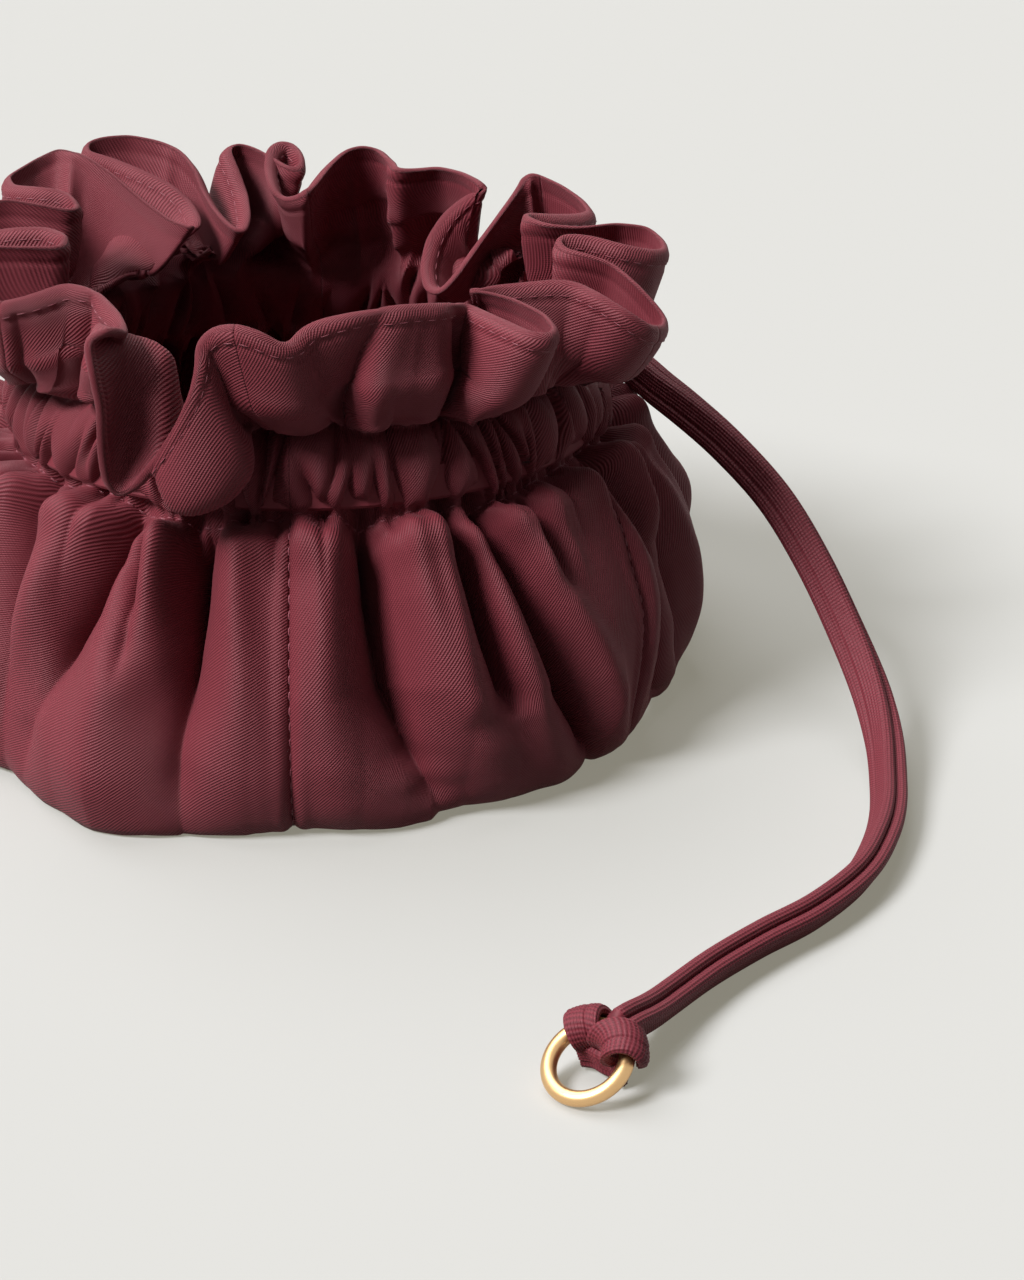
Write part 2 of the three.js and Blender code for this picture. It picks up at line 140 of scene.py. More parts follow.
# The frill's edge as the photograph shows it: azimuth on the upper row, the photograph's x and y, and height
HEM_SEEN = [
    (-60, 0, 307, 0.132), (-55, 32, 299, 0.134), (-50, 66, 286, 0.136), (-45, 95, 294, 0.135),
    (-40, 115, 315, 0.134), (-36, 126, 334, 0.134), (-34, 108, 331, 0.138), (-32, 86, 340, 0.136),
    (-30.5, 92, 372, 0.1287), (-29, 100.5, 410.5, 0.1184), (-27, 101, 450, 0.107), (-25, 105, 482, 0.0975),
    (-22.5, 118, 495.5, 0.093), (-20, 136.5, 488, 0.0955), (-17.5, 159, 455, 0.106),
    (-15, 177, 427, 0.1145), (-12.5, 191.5, 395.5, 0.1235), (-10.5, 198.5, 368, 0.1305),
    (-9, 199, 345, 0.1359), (-7, 212, 331, 0.14), (-3.5, 235, 328, 0.142), (0, 258, 335, 0.141),
    (3.5, 280, 347, 0.138), (6.5, 294, 346, 0.137), (8.5, 301, 333, 0.139), (11, 318, 324, 0.141),
    (15, 351, 317, 0.143), (20, 400, 309, 0.144), (25, 440, 307, 0.142), (28, 466, 307, 0.137),
    (30, 500, 322, 0.137), (31.5, 530, 336, 0.136), (33, 550, 339, 0.135), (34.5, 557, 332, 0.135),
    (36, 545, 316, 0.136), (37.5, 515, 301, 0.137), (39, 482, 292, 0.138), (41, 466, 294, 0.138),
    (43, 480, 291, 0.138), (46, 520, 287, 0.138), (49, 555, 283, 0.138), (52, 575, 285, 0.137),
    (54.5, 600, 298, 0.135), (57, 628, 316, 0.131), (59, 650, 330, 0.126), (61, 664, 330, 0.122),
    (62.5, 666, 320, 0.122), (64, 655, 305, 0.125), (66, 636, 285, 0.129), (68, 612, 265, 0.132),
    (70, 585, 257, 0.134), (72, 563, 252, 0.135), (73.5, 555, 243, 0.136), (75, 565, 237, 0.137),
    (77, 590, 239, 0.136), (79, 622, 248, 0.134), (81, 652, 254, 0.131), (83, 666, 253, 0.129),
    (84.5, 664, 243, 0.129), (86, 648, 229, 0.131), (88.5, 615, 225, 0.132), (91, 580, 229, 0.133),
    (94, 545, 226, 0.134), (97, 524, 220, 0.134), (99, 527, 216, 0.133), (102, 552, 217, 0.131),
    (105, 580, 217, 0.128), (108, 592, 214, 0.127), (112, 582, 201, 0.128), (116, 562, 187, 0.13),
    (120, 542, 178, 0.131), (123, 527, 175, 0.132), (125, 520, 188, 0.129), (127.5, 500, 215, 0.123),
    (130, 478, 245, 0.115), (132, 457, 275, 0.108), (133.5, 440, 294, 0.103), (135, 428, 290, 0.103),
    (137, 424, 268, 0.107), (139.5, 430, 240, 0.113), (142, 446, 215, 0.12), (145, 468, 197, 0.126),
    (147.5, 487, 193, 0.129), (149.5, 480, 184, 0.131), (152, 462, 174, 0.131), (155, 438, 168, 0.131),
    (158, 415, 171, 0.13), (160.5, 396, 172, 0.13), (163, 390, 162, 0.13), (166, 380, 151, 0.131),
    (169, 362, 147, 0.132), (172, 345, 152, 0.131), (175, 328, 167, 0.129), (177.5, 315, 184, 0.127),
    (180, 308, 193, 0.125), (182, 298, 199, 0.123), (184, 283, 202, 0.121), (186, 273, 190, 0.124),
    (188.5, 268, 170, 0.127), (191, 270, 152, 0.13), (193.5, 280, 143, 0.131), (196, 293, 146, 0.13),
    (198, 302, 158, 0.128), (199.5, 303, 170, 0.126), (201, 290, 172, 0.126), (202.5, 272, 160, 0.128),
    (204, 255, 150, 0.13), (205.5, 238, 145, 0.131), (207, 225, 149, 0.131), (208.5, 234, 168, 0.127),
    (210, 244, 195, 0.121), (211.5, 247, 218, 0.118), (213, 243, 234, 0.116), (214.5, 233, 230, 0.117),
    (216, 216, 212, 0.12), (217.5, 205, 193, 0.123), (219, 197, 172, 0.127), (221, 182, 154, 0.13),
    (223, 160, 144, 0.132), (225, 130, 138, 0.133), (227, 102, 140, 0.133), (228.5, 84, 146, 0.132),
    (229.5, 86, 154, 0.131), (231, 110, 160, 0.13), (233, 140, 172, 0.128), (235, 170, 186, 0.125),
    (237, 190, 204, 0.121), (238.5, 199, 222, 0.118), (240, 194, 231, 0.117), (241.5, 172, 224, 0.118),
    (243.5, 142, 202, 0.122), (245.5, 112, 176, 0.127), (247, 88, 160, 0.13), (249, 74, 154, 0.131),
    (251.5, 57, 152, 0.131), (254, 30, 165, 0.13),
]
# The stretch of the edge past the photograph, guessed: azimuth on the upper row, then the place
HEM_GUESSED = [
    (256, -0.093, 0.056, 0.13), (258, -0.09, 0.045, 0.131), (260, -0.081, 0.04, 0.132),
    (262, -0.073, 0.039, 0.131), (264, -0.068, 0.033, 0.129), (266, -0.07, 0.027, 0.129),
    (268, -0.079, 0.027, 0.131), (270, -0.089, 0.029, 0.132), (272, -0.098, 0.025, 0.131),
    (274, -0.103, 0.016, 0.129), (276, -0.101, 0.006, 0.129), (278, -0.094, 0, 0.131),
    (280, -0.084, 0, 0.133), (282, -0.074, 0.001, 0.133), (284, -0.067, -0.004, 0.132),
    (286, -0.068, -0.011, 0.131), (288, -0.077, -0.013, 0.132), (290, -0.088, -0.012, 0.132),
    (292, -0.098, -0.015, 0.129), (293.5, -0.103, -0.023, 0.125), (295, -0.102, -0.033, 0.124),
    (296.5, -0.095, -0.04, 0.128), (298, -0.087, -0.047, 0.13),
]
# Creases between the frill's lobes: azimuth on the upper row, depth, drift up to the hem, how soon it fades
FRILL_CREASES = [
    (-58, 0.006, 0, 0.7), (-46, 0.009, 1, 0.6), (-37, 0.009, 0, 0.7), (-5.5, 0.012, -3, 1.1),
    (11, 0.015, 7, 0.75), (19, 0.0024, 3, 1.6), (28.5, 0.0145, -2, 0.7), (34, 0.005, 1, 1.6),
    (43, 0.012, 0, 0.6), (55, 0.006, 0, 0.8), (71.5, 0.011, 1, 0.5), (84, 0.005, 0, 0.9),
    (97, 0.01, 0, 0.5), (110, 0.005, 0, 0.9), (123.5, 0.01, 0, 0.5), (135, 0.0045, 0, 0.8),
    (148, 0.009, 0, 0.5), (161, 0.008, 1, 0.5), (171, 0.005, 0, 0.9), (182, 0.009, -1, 0.5),
    (200, 0.0095, 0, 0.5), (213, 0.006, 0, 0.7), (221, 0.008, 1, 0.6), (230, 0.0065, 0, 0.7),
    (240, 0.006, 0, 0.7), (249, 0.009, 0, 0.5), (264, 0.009, 0, 0.5), (274, 0.005, 0, 0.8),
    (285, 0.009, 0, 0.5), (294, 0.005, 0, 0.8),
]
# Degrees by which the hem's columns are turned by the front seam
HEM_SHIFT = 3.5
# How far the front of the hem is set back along the line of sight
HEM_SETBACK = 0.008
# Spacing, blur and reach in steps of the smoothed hem
HEM_STEP = 0.0005
HEM_SOFTNESS = 0.0022
HEM_REACH = 16
# Length of the frill's cloth from the upper row to the hem
FRILL_CLOTH = 0.05
# Where the flopped lobe's columns pass on their way to the hem: azimuth, place, and how far they follow it
FLOPPED = [
    (-38.0, -0.056, -0.07, 0.123, 0.0), (-35.0, -0.0515, -0.0715, 0.1275, 1.0),
    (-32.0, -0.048, -0.0735, 0.1295, 1.0), (-29.0, -0.044, -0.075, 0.13, 1.0),
    (-26.0, -0.039, -0.076, 0.129, 1.0), (-23.5, -0.0345, -0.077, 0.1275, 1.0),
    (-21.5, -0.031, -0.08, 0.123, 1.0), (-19.5, -0.031, -0.09, 0.106, 1.0),
    (-17.5, -0.031, -0.1, 0.0915, 1.0), (-15.0, -0.025, -0.103, 0.0905, 1.0),
    (-12.0, -0.0165, -0.102, 0.0935, 1.0), (-9.5, -0.01, -0.0985, 0.099, 0.9),
    (-7.0, -0.0065, -0.0955, 0.108, 0.5), (-4.5, -0.004, -0.094, 0.114, 0.0),
]

# How far the cloth's grain is turned in each panel
GRAIN_TURN = [-7, -24, 3, -5, 4, 18]
FLOPPED_TURN = -10

# Grid
COLUMNS = 176
BODY_ROWS = 84
CHANNEL_ROWS = 26
FRILL_ROWS = 44
FRILL_MARGIN = 16
HEM_ROWS = 7

# Free strands of the drawstring: the route's points, as in part.mjs, and the last four on into the hitch
STRAP_WIDTH = 0.01
STRAP_THICKNESS = 0.0036
STRAP_OFFSET = 0.0019
STRAP_ROUTE = [
    (0.0732, 0.043, 0.0806), (0.0796, 0.042, 0.0806), (0.086, 0.0394, 0.0809), (0.092, 0.0346, 0.081),
    (0.0972, 0.0262, 0.0804), (0.1033, 0.0156, 0.0786), (0.1104, 0.006, 0.076), (0.122, -0.006, 0.0694),
    (0.1355, -0.019, 0.0581), (0.146, -0.032, 0.0443), (0.1551, -0.047, 0.0288), (0.1614, -0.064, 0.0172),
    (0.1636, -0.08, 0.0106), (0.1632, -0.097, 0.0068), (0.1616, -0.112, 0.0056), (0.158, -0.127, 0.0054),
    (0.1506, -0.146, 0.0055), (0.1365, -0.1653, 0.0056), (0.1224, -0.1786, 0.0057), (0.1089, -0.1932, 0.006),
    (0.0982, -0.2082, 0.007), (0.094, -0.215, 0.008), (0.0906, -0.2208, 0.0095), (0.0868, -0.2266, 0.0112),
    (0.0842, -0.2303, 0.0118),
]

# Ring
RING_PLACE = (0.0774, -0.2374, 0.0074)
RING_NORMAL = (-0.3681, -0.3812, 0.848)
RING_RADIUS = 0.01
WIRE_RADIUS = 0.002
RING_ROUNDS = 128
WIRE_SIDES = 32

# Ribs and slits of the folded strap
RIB_PITCH = 0.00096
RIB_DEPTH = 0.00013
SLIT_PLACE = 0.0012
SLIT_DEPTH = 0.0005
SLIT_HALF = 0.0003

# Hitch
WRAP_SECTIONS = 64
WRAP_THICKNESS = 0.0023
# Turns of the strap in the hitch: angle round the wire, angle on the ring, distance from the wire, width
WRAP_LEFT = [
    (-70, 26, 0.0044, 0.0085), (-25, 32, 0.0041, 0.0095), (30, 38, 0.0040, 0.0100), (90, 40, 0.0040, 0.0092),
    (150, 40, 0.0040, 0.0078), (200, 40, 0.0040, 0.0066), (250, 40, 0.0042, 0.0060),
]
WRAP_RIGHT = [
    (-75, -38, 0.0043, 0.0090), (-30, -44, 0.0040, 0.0102), (20, -46, 0.0042, 0.0108),
    (80, -38, 0.0050, 0.0110), (135, -27, 0.0054, 0.0100), (185, -22, 0.0046, 0.0086),
    (245, -26, 0.0042, 0.0070),
]
BIGHT_WIDTH = 0.0075
BIGHT_THICKNESS = 0.0024
# The strap's bight behind the wire: angle on the ring, outward, lift
BIGHT = [
    (72, -0.0030, -0.0050), (48, -0.0052, -0.0052), (24, -0.0066, -0.0050), (0, -0.0070, -0.0048),
    (-24, -0.0066, -0.0050), (-48, -0.0052, -0.0052), (-72, -0.0030, -0.0050),
]

# Threads
STITCH_LENGTH = 0.0028
STITCH_GAP = 0.0015
THREAD_RADIUS = 0.00022
HEM_THREAD_RADIUS = 0.00012
STITCH_RINGS = 7
STITCH_SIDES = 6

# Materials
TWILL_PITCH = 0.00076
TWILL_ANGLE = 47
# Cloth twill: colour of the lit ridge tops, then a painted shade colour for the grooves between them
TWILL_RIDGE_LIT = (0.200, 0.0285, 0.042)
TWILL_GROOVE_SHADE = (0.105, 0.013, 0.020)
STRAP_PITCH = 0.0010
STRAP_ANGLE = 8
# Strap twill: colour of the lit ridge tops, then a painted shade colour for the grooves between them
STRAP_RIDGE_LIT = (0.176, 0.023, 0.035)
STRAP_GROOVE_SHADE = (0.090, 0.010, 0.0165)
THREAD_LIGHT = (0.30, 0.060, 0.090)
THREAD_DARK = (0.17, 0.026, 0.040)
GILT_DARK = (0.68, 0.40, 0.17)
GILT_LIGHT = (0.80, 0.54, 0.28)

# Floor and light
FLOOR_COLOUR = (0.486, 0.489, 0.500)
FLOOR_BOUNCE = (0.035, 0.032, 0.028)
FLOOR_GLOW = 0.30
BACKGROUND = (0.783, 0.776, 0.745)
FLOOR_SHADE = (0.800, 0.765, 0.620)
AMBIENT = 0.012
AMBIENT_COLOUR = (1.0, 0.90, 0.76)
FLOOR_HEIGHT = -0.0002
# Lamps: name, where the light comes from, strength and apparent angle
LAMPS = [
    ("key", (-0.86, -0.48, 1.04), 4.6, 22),
    ("top", (-0.35, 0.45, 1.00), 2.0, 50),
]


def smooth_step(x):
    x = np.clip(x, 0, 1)
    return x * x * (3 - 2 * x)


def bell(x, width, power=2):
    """1 at nought, and falling off within a width to either side."""
    return np.exp(-(x / width) ** power)


def bump_at(distance, size, place, spread):
    return size * bell(distance - place, spread)


def unit(v):
    return v / np.maximum(np.linalg.norm(v, axis=-1, keepdims=True), 1e-12)


def travel_along(line):
    """Distance travelled at each point of a line."""
    return np.concatenate([[0], np.cumsum(np.linalg.norm(np.diff(line, axis=0), axis=1))])


def at_places(places, known, values):
    """Interpolates each column of values, given at known places, at other places."""
    return np.stack([np.interp(places, known, column) for column in values.T], axis=-1)


def blur_weights(reach, sigma):
    weights = np.exp(-0.5 * (np.arange(-reach, reach + 1) / sigma) ** 2)
    return weights / weights.sum()


def smooth_rows(values, sigma):
    """Blurs a table down its rows, with its ends held."""
    reach = int(3 * sigma)
    padded = np.pad(values, ((reach, reach), (0, 0)), mode="edge")
    return sum(w * padded[k:k + len(values)] for k, w in enumerate(blur_weights(reach, sigma)))


def make_object(name, points, faces, uv=None, smooth=True):
    """A mesh object; uv holds one pair for each point."""
    mesh = bpy.data.meshes.new(name)
    mesh.from_pydata([tuple(p) for p in points], [], [tuple(f) for f in faces])
    if uv is not None:
        layer = mesh.uv_layers.new(name="cloth")
        loops = np.empty(len(mesh.loops), int)
        mesh.loops.foreach_get("vertex_index", loops)
        layer.data.foreach_set("uv", np.asarray(uv)[loops].ravel())
    mesh.polygons.foreach_set("use_smooth", [smooth] * len(mesh.polygons))
    mesh.update()
    item = bpy.data.objects.new(name, mesh)
    bpy.context.scene.collection.objects.link(item)
    return item


def quads_between(a, b, c, d):
    """Four-cornered faces from four grids of point numbers."""
    return np.stack([a, b, c, d], axis=-1).reshape(-1, 4).tolist()


def set_camera():
    data = bpy.data.cameras.new("camera")
    data.sensor_fit = "VERTICAL"
    data.sensor_height = 36
    data.lens = CAMERA_LENS
    data.clip_end = 20
    camera = bpy.data.objects.new("camera", data)
    camera.location = CAMERA_PLACE
    camera.rotation_euler = (math.radians(90 - CAMERA_DOWN), 0, 0)
    bpy.context.scene.collection.objects.link(camera)
    bpy.context.scene.camera = camera


# Materials


def new_material(name):
    material = bpy.data.materials.new(name)
    material.use_nodes = True
    tree = material.node_tree
    return material, tree, tree.nodes["Principled BSDF"]


def set_inputs(node, values):
    for name, value in values.items():
        node.inputs[name].default_value = value


def maths(tree, operation, a, b=None):
    node = tree.nodes.new("ShaderNodeMath")
    node.operation = operation
    for socket, value in zip(node.inputs, (a, b)):
        if value is None:
            continue
        if isinstance(value, (int, float)):
            socket.default_value = value
        else:
            tree.links.new(value, socket)
    return node.outputs[0]


def times(tree, a, b):
    return maths(tree, "MULTIPLY", a, b)


def plus(tree, a, b):
    return maths(tree, "ADD", a, b)


def wave_of(tree, turns):
    return maths(tree, "SINE", times(tree, turns, 2 * math.pi))


def mix_colours(tree, factor, a, b):
    node = tree.nodes.new("ShaderNodeMix")
    node.data_type = "RGBA"
    tree.links.new(factor, node.inputs[0])
    for socket, value in ((node.inputs[6], a), (node.inputs[7], b)):
        if isinstance(value, tuple):
            socket.default_value = (*value, 1)
        else:
            tree.links.new(value, socket)
    return node.outputs[2]


def noise(tree, scale, detail):
    node = tree.nodes.new("ShaderNodeTexNoise")
    set_inputs(node, {"Scale": scale, "Detail": detail})
    tree.links.new(tree.nodes.new("ShaderNodeTexCoord").outputs["Object"], node.inputs["Vector"])
    return node.outputs["Fac"]


def add_bump(tree, shader, height, strength, distance):
    bump = tree.nodes.new("ShaderNodeBump")
    set_inputs(bump, {"Strength": strength, "Distance": distance})
    tree.links.new(height, bump.inputs["Height"])
    tree.links.new(bump.outputs["Normal"], shader.inputs["Normal"])


def make_twill(name, light, groove_shade, pitch=TWILL_PITCH, angle=TWILL_ANGLE, depth=0.00022):
    """Diagonal twill: raised ridges across the cloth's own coordinates, which are in metres, with painted
    shade in the grooves between the ridges.
    """
    material, tree, shader = new_material(name)
    uv = tree.nodes.new("ShaderNodeUVMap")
    uv.uv_map = "cloth"
    split = tree.nodes.new("ShaderNodeSeparateXYZ")
    tree.links.new(uv.outputs["UV"], split.inputs[0])
    across = times(tree, split.outputs["X"], math.sin(math.radians(angle)) / pitch)
    along = times(tree, split.outputs["Y"], math.cos(math.radians(angle)) / pitch)
    line = maths(tree, "SUBTRACT", across, along)
    line = plus(tree, line, times(tree, noise(tree, 60, 2), 0.3))
    ridge = times(tree, plus(tree, wave_of(tree, line), 1), 0.5)
    pick = times(tree, split.outputs["Y"], 1 / (0.62 * pitch))
    pick = plus(tree, pick, times(tree, line, 0.5))
    height = plus(tree, ridge, times(tree, wave_of(tree, pick), 0.13))
    height = plus(tree, height, times(tree, noise(tree, 2600, 2), 0.25))
    add_bump(tree, shader, height, 0.75, depth)
    # Painted shade: the grooves between the ridges take the darker colour and the ridge tops the lighter one
    shade = mix_colours(tree, ridge, groove_shade, light)
    blotch = times(tree, noise(tree, 26, 4), 0.22)
    shade = mix_colours(tree, blotch, shade, tuple(1.25 * c for c in light))
    tree.links.new(shade, shader.inputs["Base Color"])
    set_inputs(shader, {
        "Roughness": 0.62,
        "Specular IOR Level": 0.32,
        "Sheen Weight": 0.10,
        "Sheen Roughness": 0.40,
        "Sheen Tint": (0.95, 0.45, 0.50, 1),
    })
    return material


def make_thread():
    material, tree, shader = new_material("thread")
    fibre = noise(tree, 3800, 2)
    tree.links.new(mix_colours(tree, fibre, THREAD_DARK, THREAD_LIGHT), shader.inputs["Base Color"])
    add_bump(tree, shader, fibre, 0.4, 0.00008)
    set_inputs(shader, {"Roughness": 0.5, "Sheen Weight": 0.2})
    return material


def make_gilt():
    material, tree, shader = new_material("gilt")
    cloud = noise(tree, 90, 3)
    tree.links.new(mix_colours(tree, cloud, GILT_DARK, GILT_LIGHT), shader.inputs["Base Color"])
    fine = noise(tree, 1800, 3)
    tree.links.new(plus(tree, times(tree, fine, 0.10), 0.30), shader.inputs["Roughness"])
    add_bump(tree, shader, fine, 0.12, 0.00006)
    set_inputs(shader, {"Metallic": 1})
    return material


# Cloth shell


def seen_place(x, y, height):
    """The places that the photograph shows at its points x, y, for known heights."""
    pitch = math.radians(CAMERA_DOWN)
    down = pitch + np.arctan((y - PHOTO_HEIGHT / 2) / PHOTO_FOCUS)
    drop = CAMERA_PLACE[2] - height
    ahead = drop / np.tan(down)
    depth = ahead * math.cos(pitch) + drop * math.sin(pitch)
    across = (x - PHOTO_WIDTH / 2) / PHOTO_FOCUS * depth
    return np.stack([CAMERA_PLACE[0] + across, CAMERA_PLACE[1] + ahead, height], axis=-1)


def hem_curve():
    """The hem as a smooth closed curve: azimuths on the row, rising, and a point for each."""
    seen = np.array(HEM_SEEN)
    places = np.round(seen_place(*seen[:, 1:].T), 4)
    table = np.vstack([np.column_stack([seen[:, 0], places]), HEM_GUESSED])
    table[:, 0] += HEM_SHIFT * np.exp(-((table[:, 0] + 1) / 12) ** 4)
    table = np.vstack([table, table[:1] + [360, 0, 0, 0]])
    dense_azimuth = np.linspace(table[0, 0], table[-1, 0], 6001)
    dense = at_places(dense_azimuth, table[:, 0], table[:, 1:])
    travel = travel_along(dense)
    even = np.arange(0, travel[-1], HEM_STEP)
    azimuth = np.interp(even, travel, dense_azimuth)
    points = at_places(even, travel, dense)
    weights = blur_weights(HEM_REACH, HEM_SOFTNESS / HEM_STEP)
    return azimuth, sum(w * np.roll(points, HEM_REACH - k, axis=0) for k, w in enumerate(weights))


HEM_AZIMUTH, HEM_POINTS = hem_curve()


def hem_at(azimuth):
    start = HEM_AZIMUTH[0]
    wrapped = (azimuth - start) % 360 + start
    closed = np.vstack([HEM_POINTS, HEM_POINTS[:1]])
    place = at_places(wrapped, np.append(HEM_AZIMUTH, start + 360), closed)
    front = np.exp(-(((azimuth + 180) % 360 - 180 - 26) / 32) ** 4)
    return place + HEM_SETBACK * front[:, None] * unit(place - np.array(CAMERA_PLACE))


def panel_columns(index):
    """Azimuths of a panel's columns, denser where the hem runs long."""
    start = PANEL_TURN * index
    fine = np.linspace(start, start + PANEL_TURN, 1201)
    hem = hem_at(fine)
    step = np.linalg.norm(np.diff(hem, axis=0), axis=1)
    body = np.full(1200, 0.11 * math.radians(0.05))
    travel = np.concatenate([[0], np.cumsum(0.45 * step + 0.9 * body)])
    return np.interp(np.linspace(0, travel[-1], COLUMNS + 1), travel, fine)


def radial(azimuth):
    a = np.radians(azimuth)
    return np.stack([np.sin(a), -np.cos(a), np.zeros_like(a)], axis=-1)


def angle_between(a, b):
    return (a - b + 180) % 360 - 180


def make_gathers(random):
    """Creases round the neck: azimuth, depth, run down, slant, and the depth's share left at either row."""
    creases = []
    azimuth = -180.0
    while azimuth < 177:
        wide = random.random() < 0.22
        width = GATHER_SPACING * (random.uniform(1.5, 2.2) if wide else random.uniform(0.45, 1.25))
        kind = random.random()
        low, high = (1.0, 1.0) if kind < 0.5 else ((1.0, 0.1) if kind < 0.76 else (0.1, 1.0))
        creases.append((
            azimuth,
            GATHER_DEPTH * random.uniform(0.65, 1.25),
            random.uniform(0.005, 0.012) if random.random() < 0.65 else random.uniform(0.014, 0.030),
            random.uniform(-6.5, 6.5),
            low,
            high,
        ))
        azimuth += math.degrees(width / LOWER_ROW_RADIUS)
    return np.array(creases)


def gather_pull(azimuth, creases, shift, depth, roundness=0.62):
    """How far the gathers pull a row of cloth in: creases are sharp, and the cloth between them is round."""
    place = creases[:, 0] + shift
    order = np.argsort(place)
    place = np.append(place[order], place[order][0] + 360)
    depth = np.append(depth[order], depth[order][0])
    wrapped = (azimuth - place[0]) % 360 + place[0]
    cell = np.clip(np.searchsorted(place, wrapped, side="right") - 1, 0, len(place) - 2)
    share = (wrapped - place[cell]) / np.maximum(place[cell + 1] - place[cell], 1e-6)
    arch = np.sin(np.pi * np.clip(share, 0, 1)) ** roundness
    return (1 - arch) * (depth[cell] * (1 - share) + depth[cell + 1] * share)


def back_folds(random):
    """Folds like the photographed ones, over the part of the body that the photograph doesn't show."""
    folds = []
    azimuth = 110.0
    while azimuth < 296:
        lean = random.uniform(-5, 5)
        depth = random.uniform(0.0095, 0.0160)
        low = random.uniform(0.15, 0.45)
        folds.append((
            [(0.002, azimuth + lean, low * 0.6 * depth), (0.020, azimuth + 0.7 * lean, low * 1.3 * depth),
             (0.045, azimuth + 0.3 * lean, 0.85 * depth), (0.062, azimuth + 0.1 * lean, depth),
             (0.077, azimuth, 0.7 * depth)],
            random.uniform(0.0050, 0.0074),
        ))
        half = azimuth + random.uniform(6.5, 8.5)
        folds.append((
            [(0.048, half, 0.0), (0.060, half, 0.0040), (0.070, half, 0.0065), (0.077, half, 0.0050)],
            random.uniform(0.0028, 0.0038),
        ))
        azimuth += random.uniform(14, 19)
    return folds


def body_fold_depth(azimuth, height, folds):
    """How far the folds pull the cloth in, and how far sideways, in metres."""
    inward = np.zeros_like(azimuth)
    sideways = np.zeros_like(azimuth)
    for path, width in folds:
        path = np.array(path)
        centre = np.interp(height, path[:, 0], path[:, 1])
        depth = smooth_along(height, path[:, 0], path[:, 2])
        distance = np.radians(angle_between(azimuth, centre)) * BODY_MIDDLE
        spread = width * (0.8 + 0.45 * smooth_step((0.072 - height) / 0.07))
        x = distance / spread
        ridge = 0.26 * bell(np.abs(x) - 2.2, 1.0)
        inward += FOLD_DEPTH * depth * (bell(np.abs(x), 1, 1.2) - ridge)
        sideways -= 0.48 * distance * bell(x, 1.3) * np.clip(depth / 0.008, 0, 1)
    return inward, sideways


def smooth_along(x, places, values):
    """Eased interpolation between the values, held before the first and after the last."""
    cell = np.clip(np.searchsorted(places, x, side="right") - 1, 0, len(places) - 2)
    share = smooth_step((x - places[cell]) / (places[cell + 1] - places[cell]))
    return values[cell] * (1 - share) + values[cell + 1] * share


def channel_gathers(azimuth, shares, creases):
    rows = []
    for q in shares:
        left = creases[:, 4] + (creases[:, 5] - creases[:, 4]) * smooth_step(np.array(1.4 * q - 0.2))
        bow = 1.2 * np.sin(3.1 * creases[:, 0]) * math.sin(math.pi * q)
        rows.append(gather_pull(azimuth, creases, creases[:, 3] * (q - 0.5) + bow, creases[:, 1] * left))
    return np.array(rows)


def make_puckers(random):
    """The photographed puckers, and more like them over the rest of the neck."""
    puckers = [(p[0], PUCKER_DEPTH * p[1], p[2]) for p in PUCKERS]
    azimuth = PUCKERS[-1][0] + 7.5
    while azimuth < PUCKERS[0][0] + 360 - 4:
        depth = PUCKER_DEPTH * random.uniform(0.0030, 0.0055)
        puckers.append((azimuth, depth, random.uniform(0.007, 0.018)))
        azimuth += random.uniform(4.5, 9.5)
    return np.array(puckers)


def row_pull(azimuth, gathers, puckers):
    """How far the lower row itself is drawn in, which the body and the channel share."""
    above = gather_pull(azimuth, gathers, -0.5 * gathers[:, 3], gathers[:, 1] * gathers[:, 4])
    return 0.5 * above + 0.8 * gather_pull(azimuth, puckers, 0, puckers[:, 1], 1.3)


def body_puckers(azimuth, below, gathers, puckers):
    rows = []
    at_row = row_pull(azimuth, gathers, puckers)
    for distance in below:
        roundness = 0.62 + 0.7 * math.exp(-distance / 0.006)
        depth = puckers[:, 1] * bell(distance, puckers[:, 2], 1.6)
        pull = gather_pull(azimuth, puckers, 0, 1.15 * depth, roundness)
        rows.append(at_row + (pull - at_row) * smooth_step(np.array(distance / 0.0035)))
    return np.array(rows)


def row_wave(azimuth):
    """How far the stitch rows rise and fall round the neck."""
    a = np.radians(azimuth)
    return ROW_WAVE * (np.sin(7 * a + 0.6) + 0.7 * np.sin(11 * a + 2.1) + 0.5 * np.sin(17 * a))


def outline_at(share):
    """Radius, height and slope direction of the body outline at shares 0 to 1 of its length."""
    outline = np.array(BODY_OUTLINE)
    dense = []
    for a, b, c, d in zip(np.vstack([outline[:1], outline[:-2]]), outline[:-1], outline[1:],
                          np.vstack([outline[2:], outline[-1:]])):
        for t in np.linspace(0, 1, 12, endpoint=False):
            dense.append(0.5 * ((2 * b) + (c - a) * t + (2 * a - 5 * b + 4 * c - d) * t ** 2
                                + (3 * b - a - 3 * c + d) * t ** 3))
    dense = np.array(dense + [outline[-1]])
    travel = travel_along(dense)
    place = share * travel[-1]
    radius, height = at_places(place, travel, dense).T
    ahead = at_places(place + OUTLINE_REACH, travel, dense)
    behind = at_places(place - OUTLINE_REACH, travel, dense)
    run, rise = (ahead - behind).T
    size = np.hypot(run, rise)
    return radius, height, rise / size, -run / size, travel[-1]


def seam_groove(azimuth, radius):
    """A panel's seam lies in a groove between two low ridges."""
    seam = PANEL_TURN * np.round(azimuth / PANEL_TURN)
    nearest = np.radians(angle_between(azimuth, seam)) * radius
    ridges = SEAM_RIDGE * bell(np.abs(nearest) - SEAM_RIDGE_PLACE, SEAM_RIDGE_HALF)
    return SEAM_DEPTH * bell(nearest, SEAM_HALF) - ridges


def row_groove(distance):
    return ROW_GROOVE * bell(distance, ROW_GROOVE)


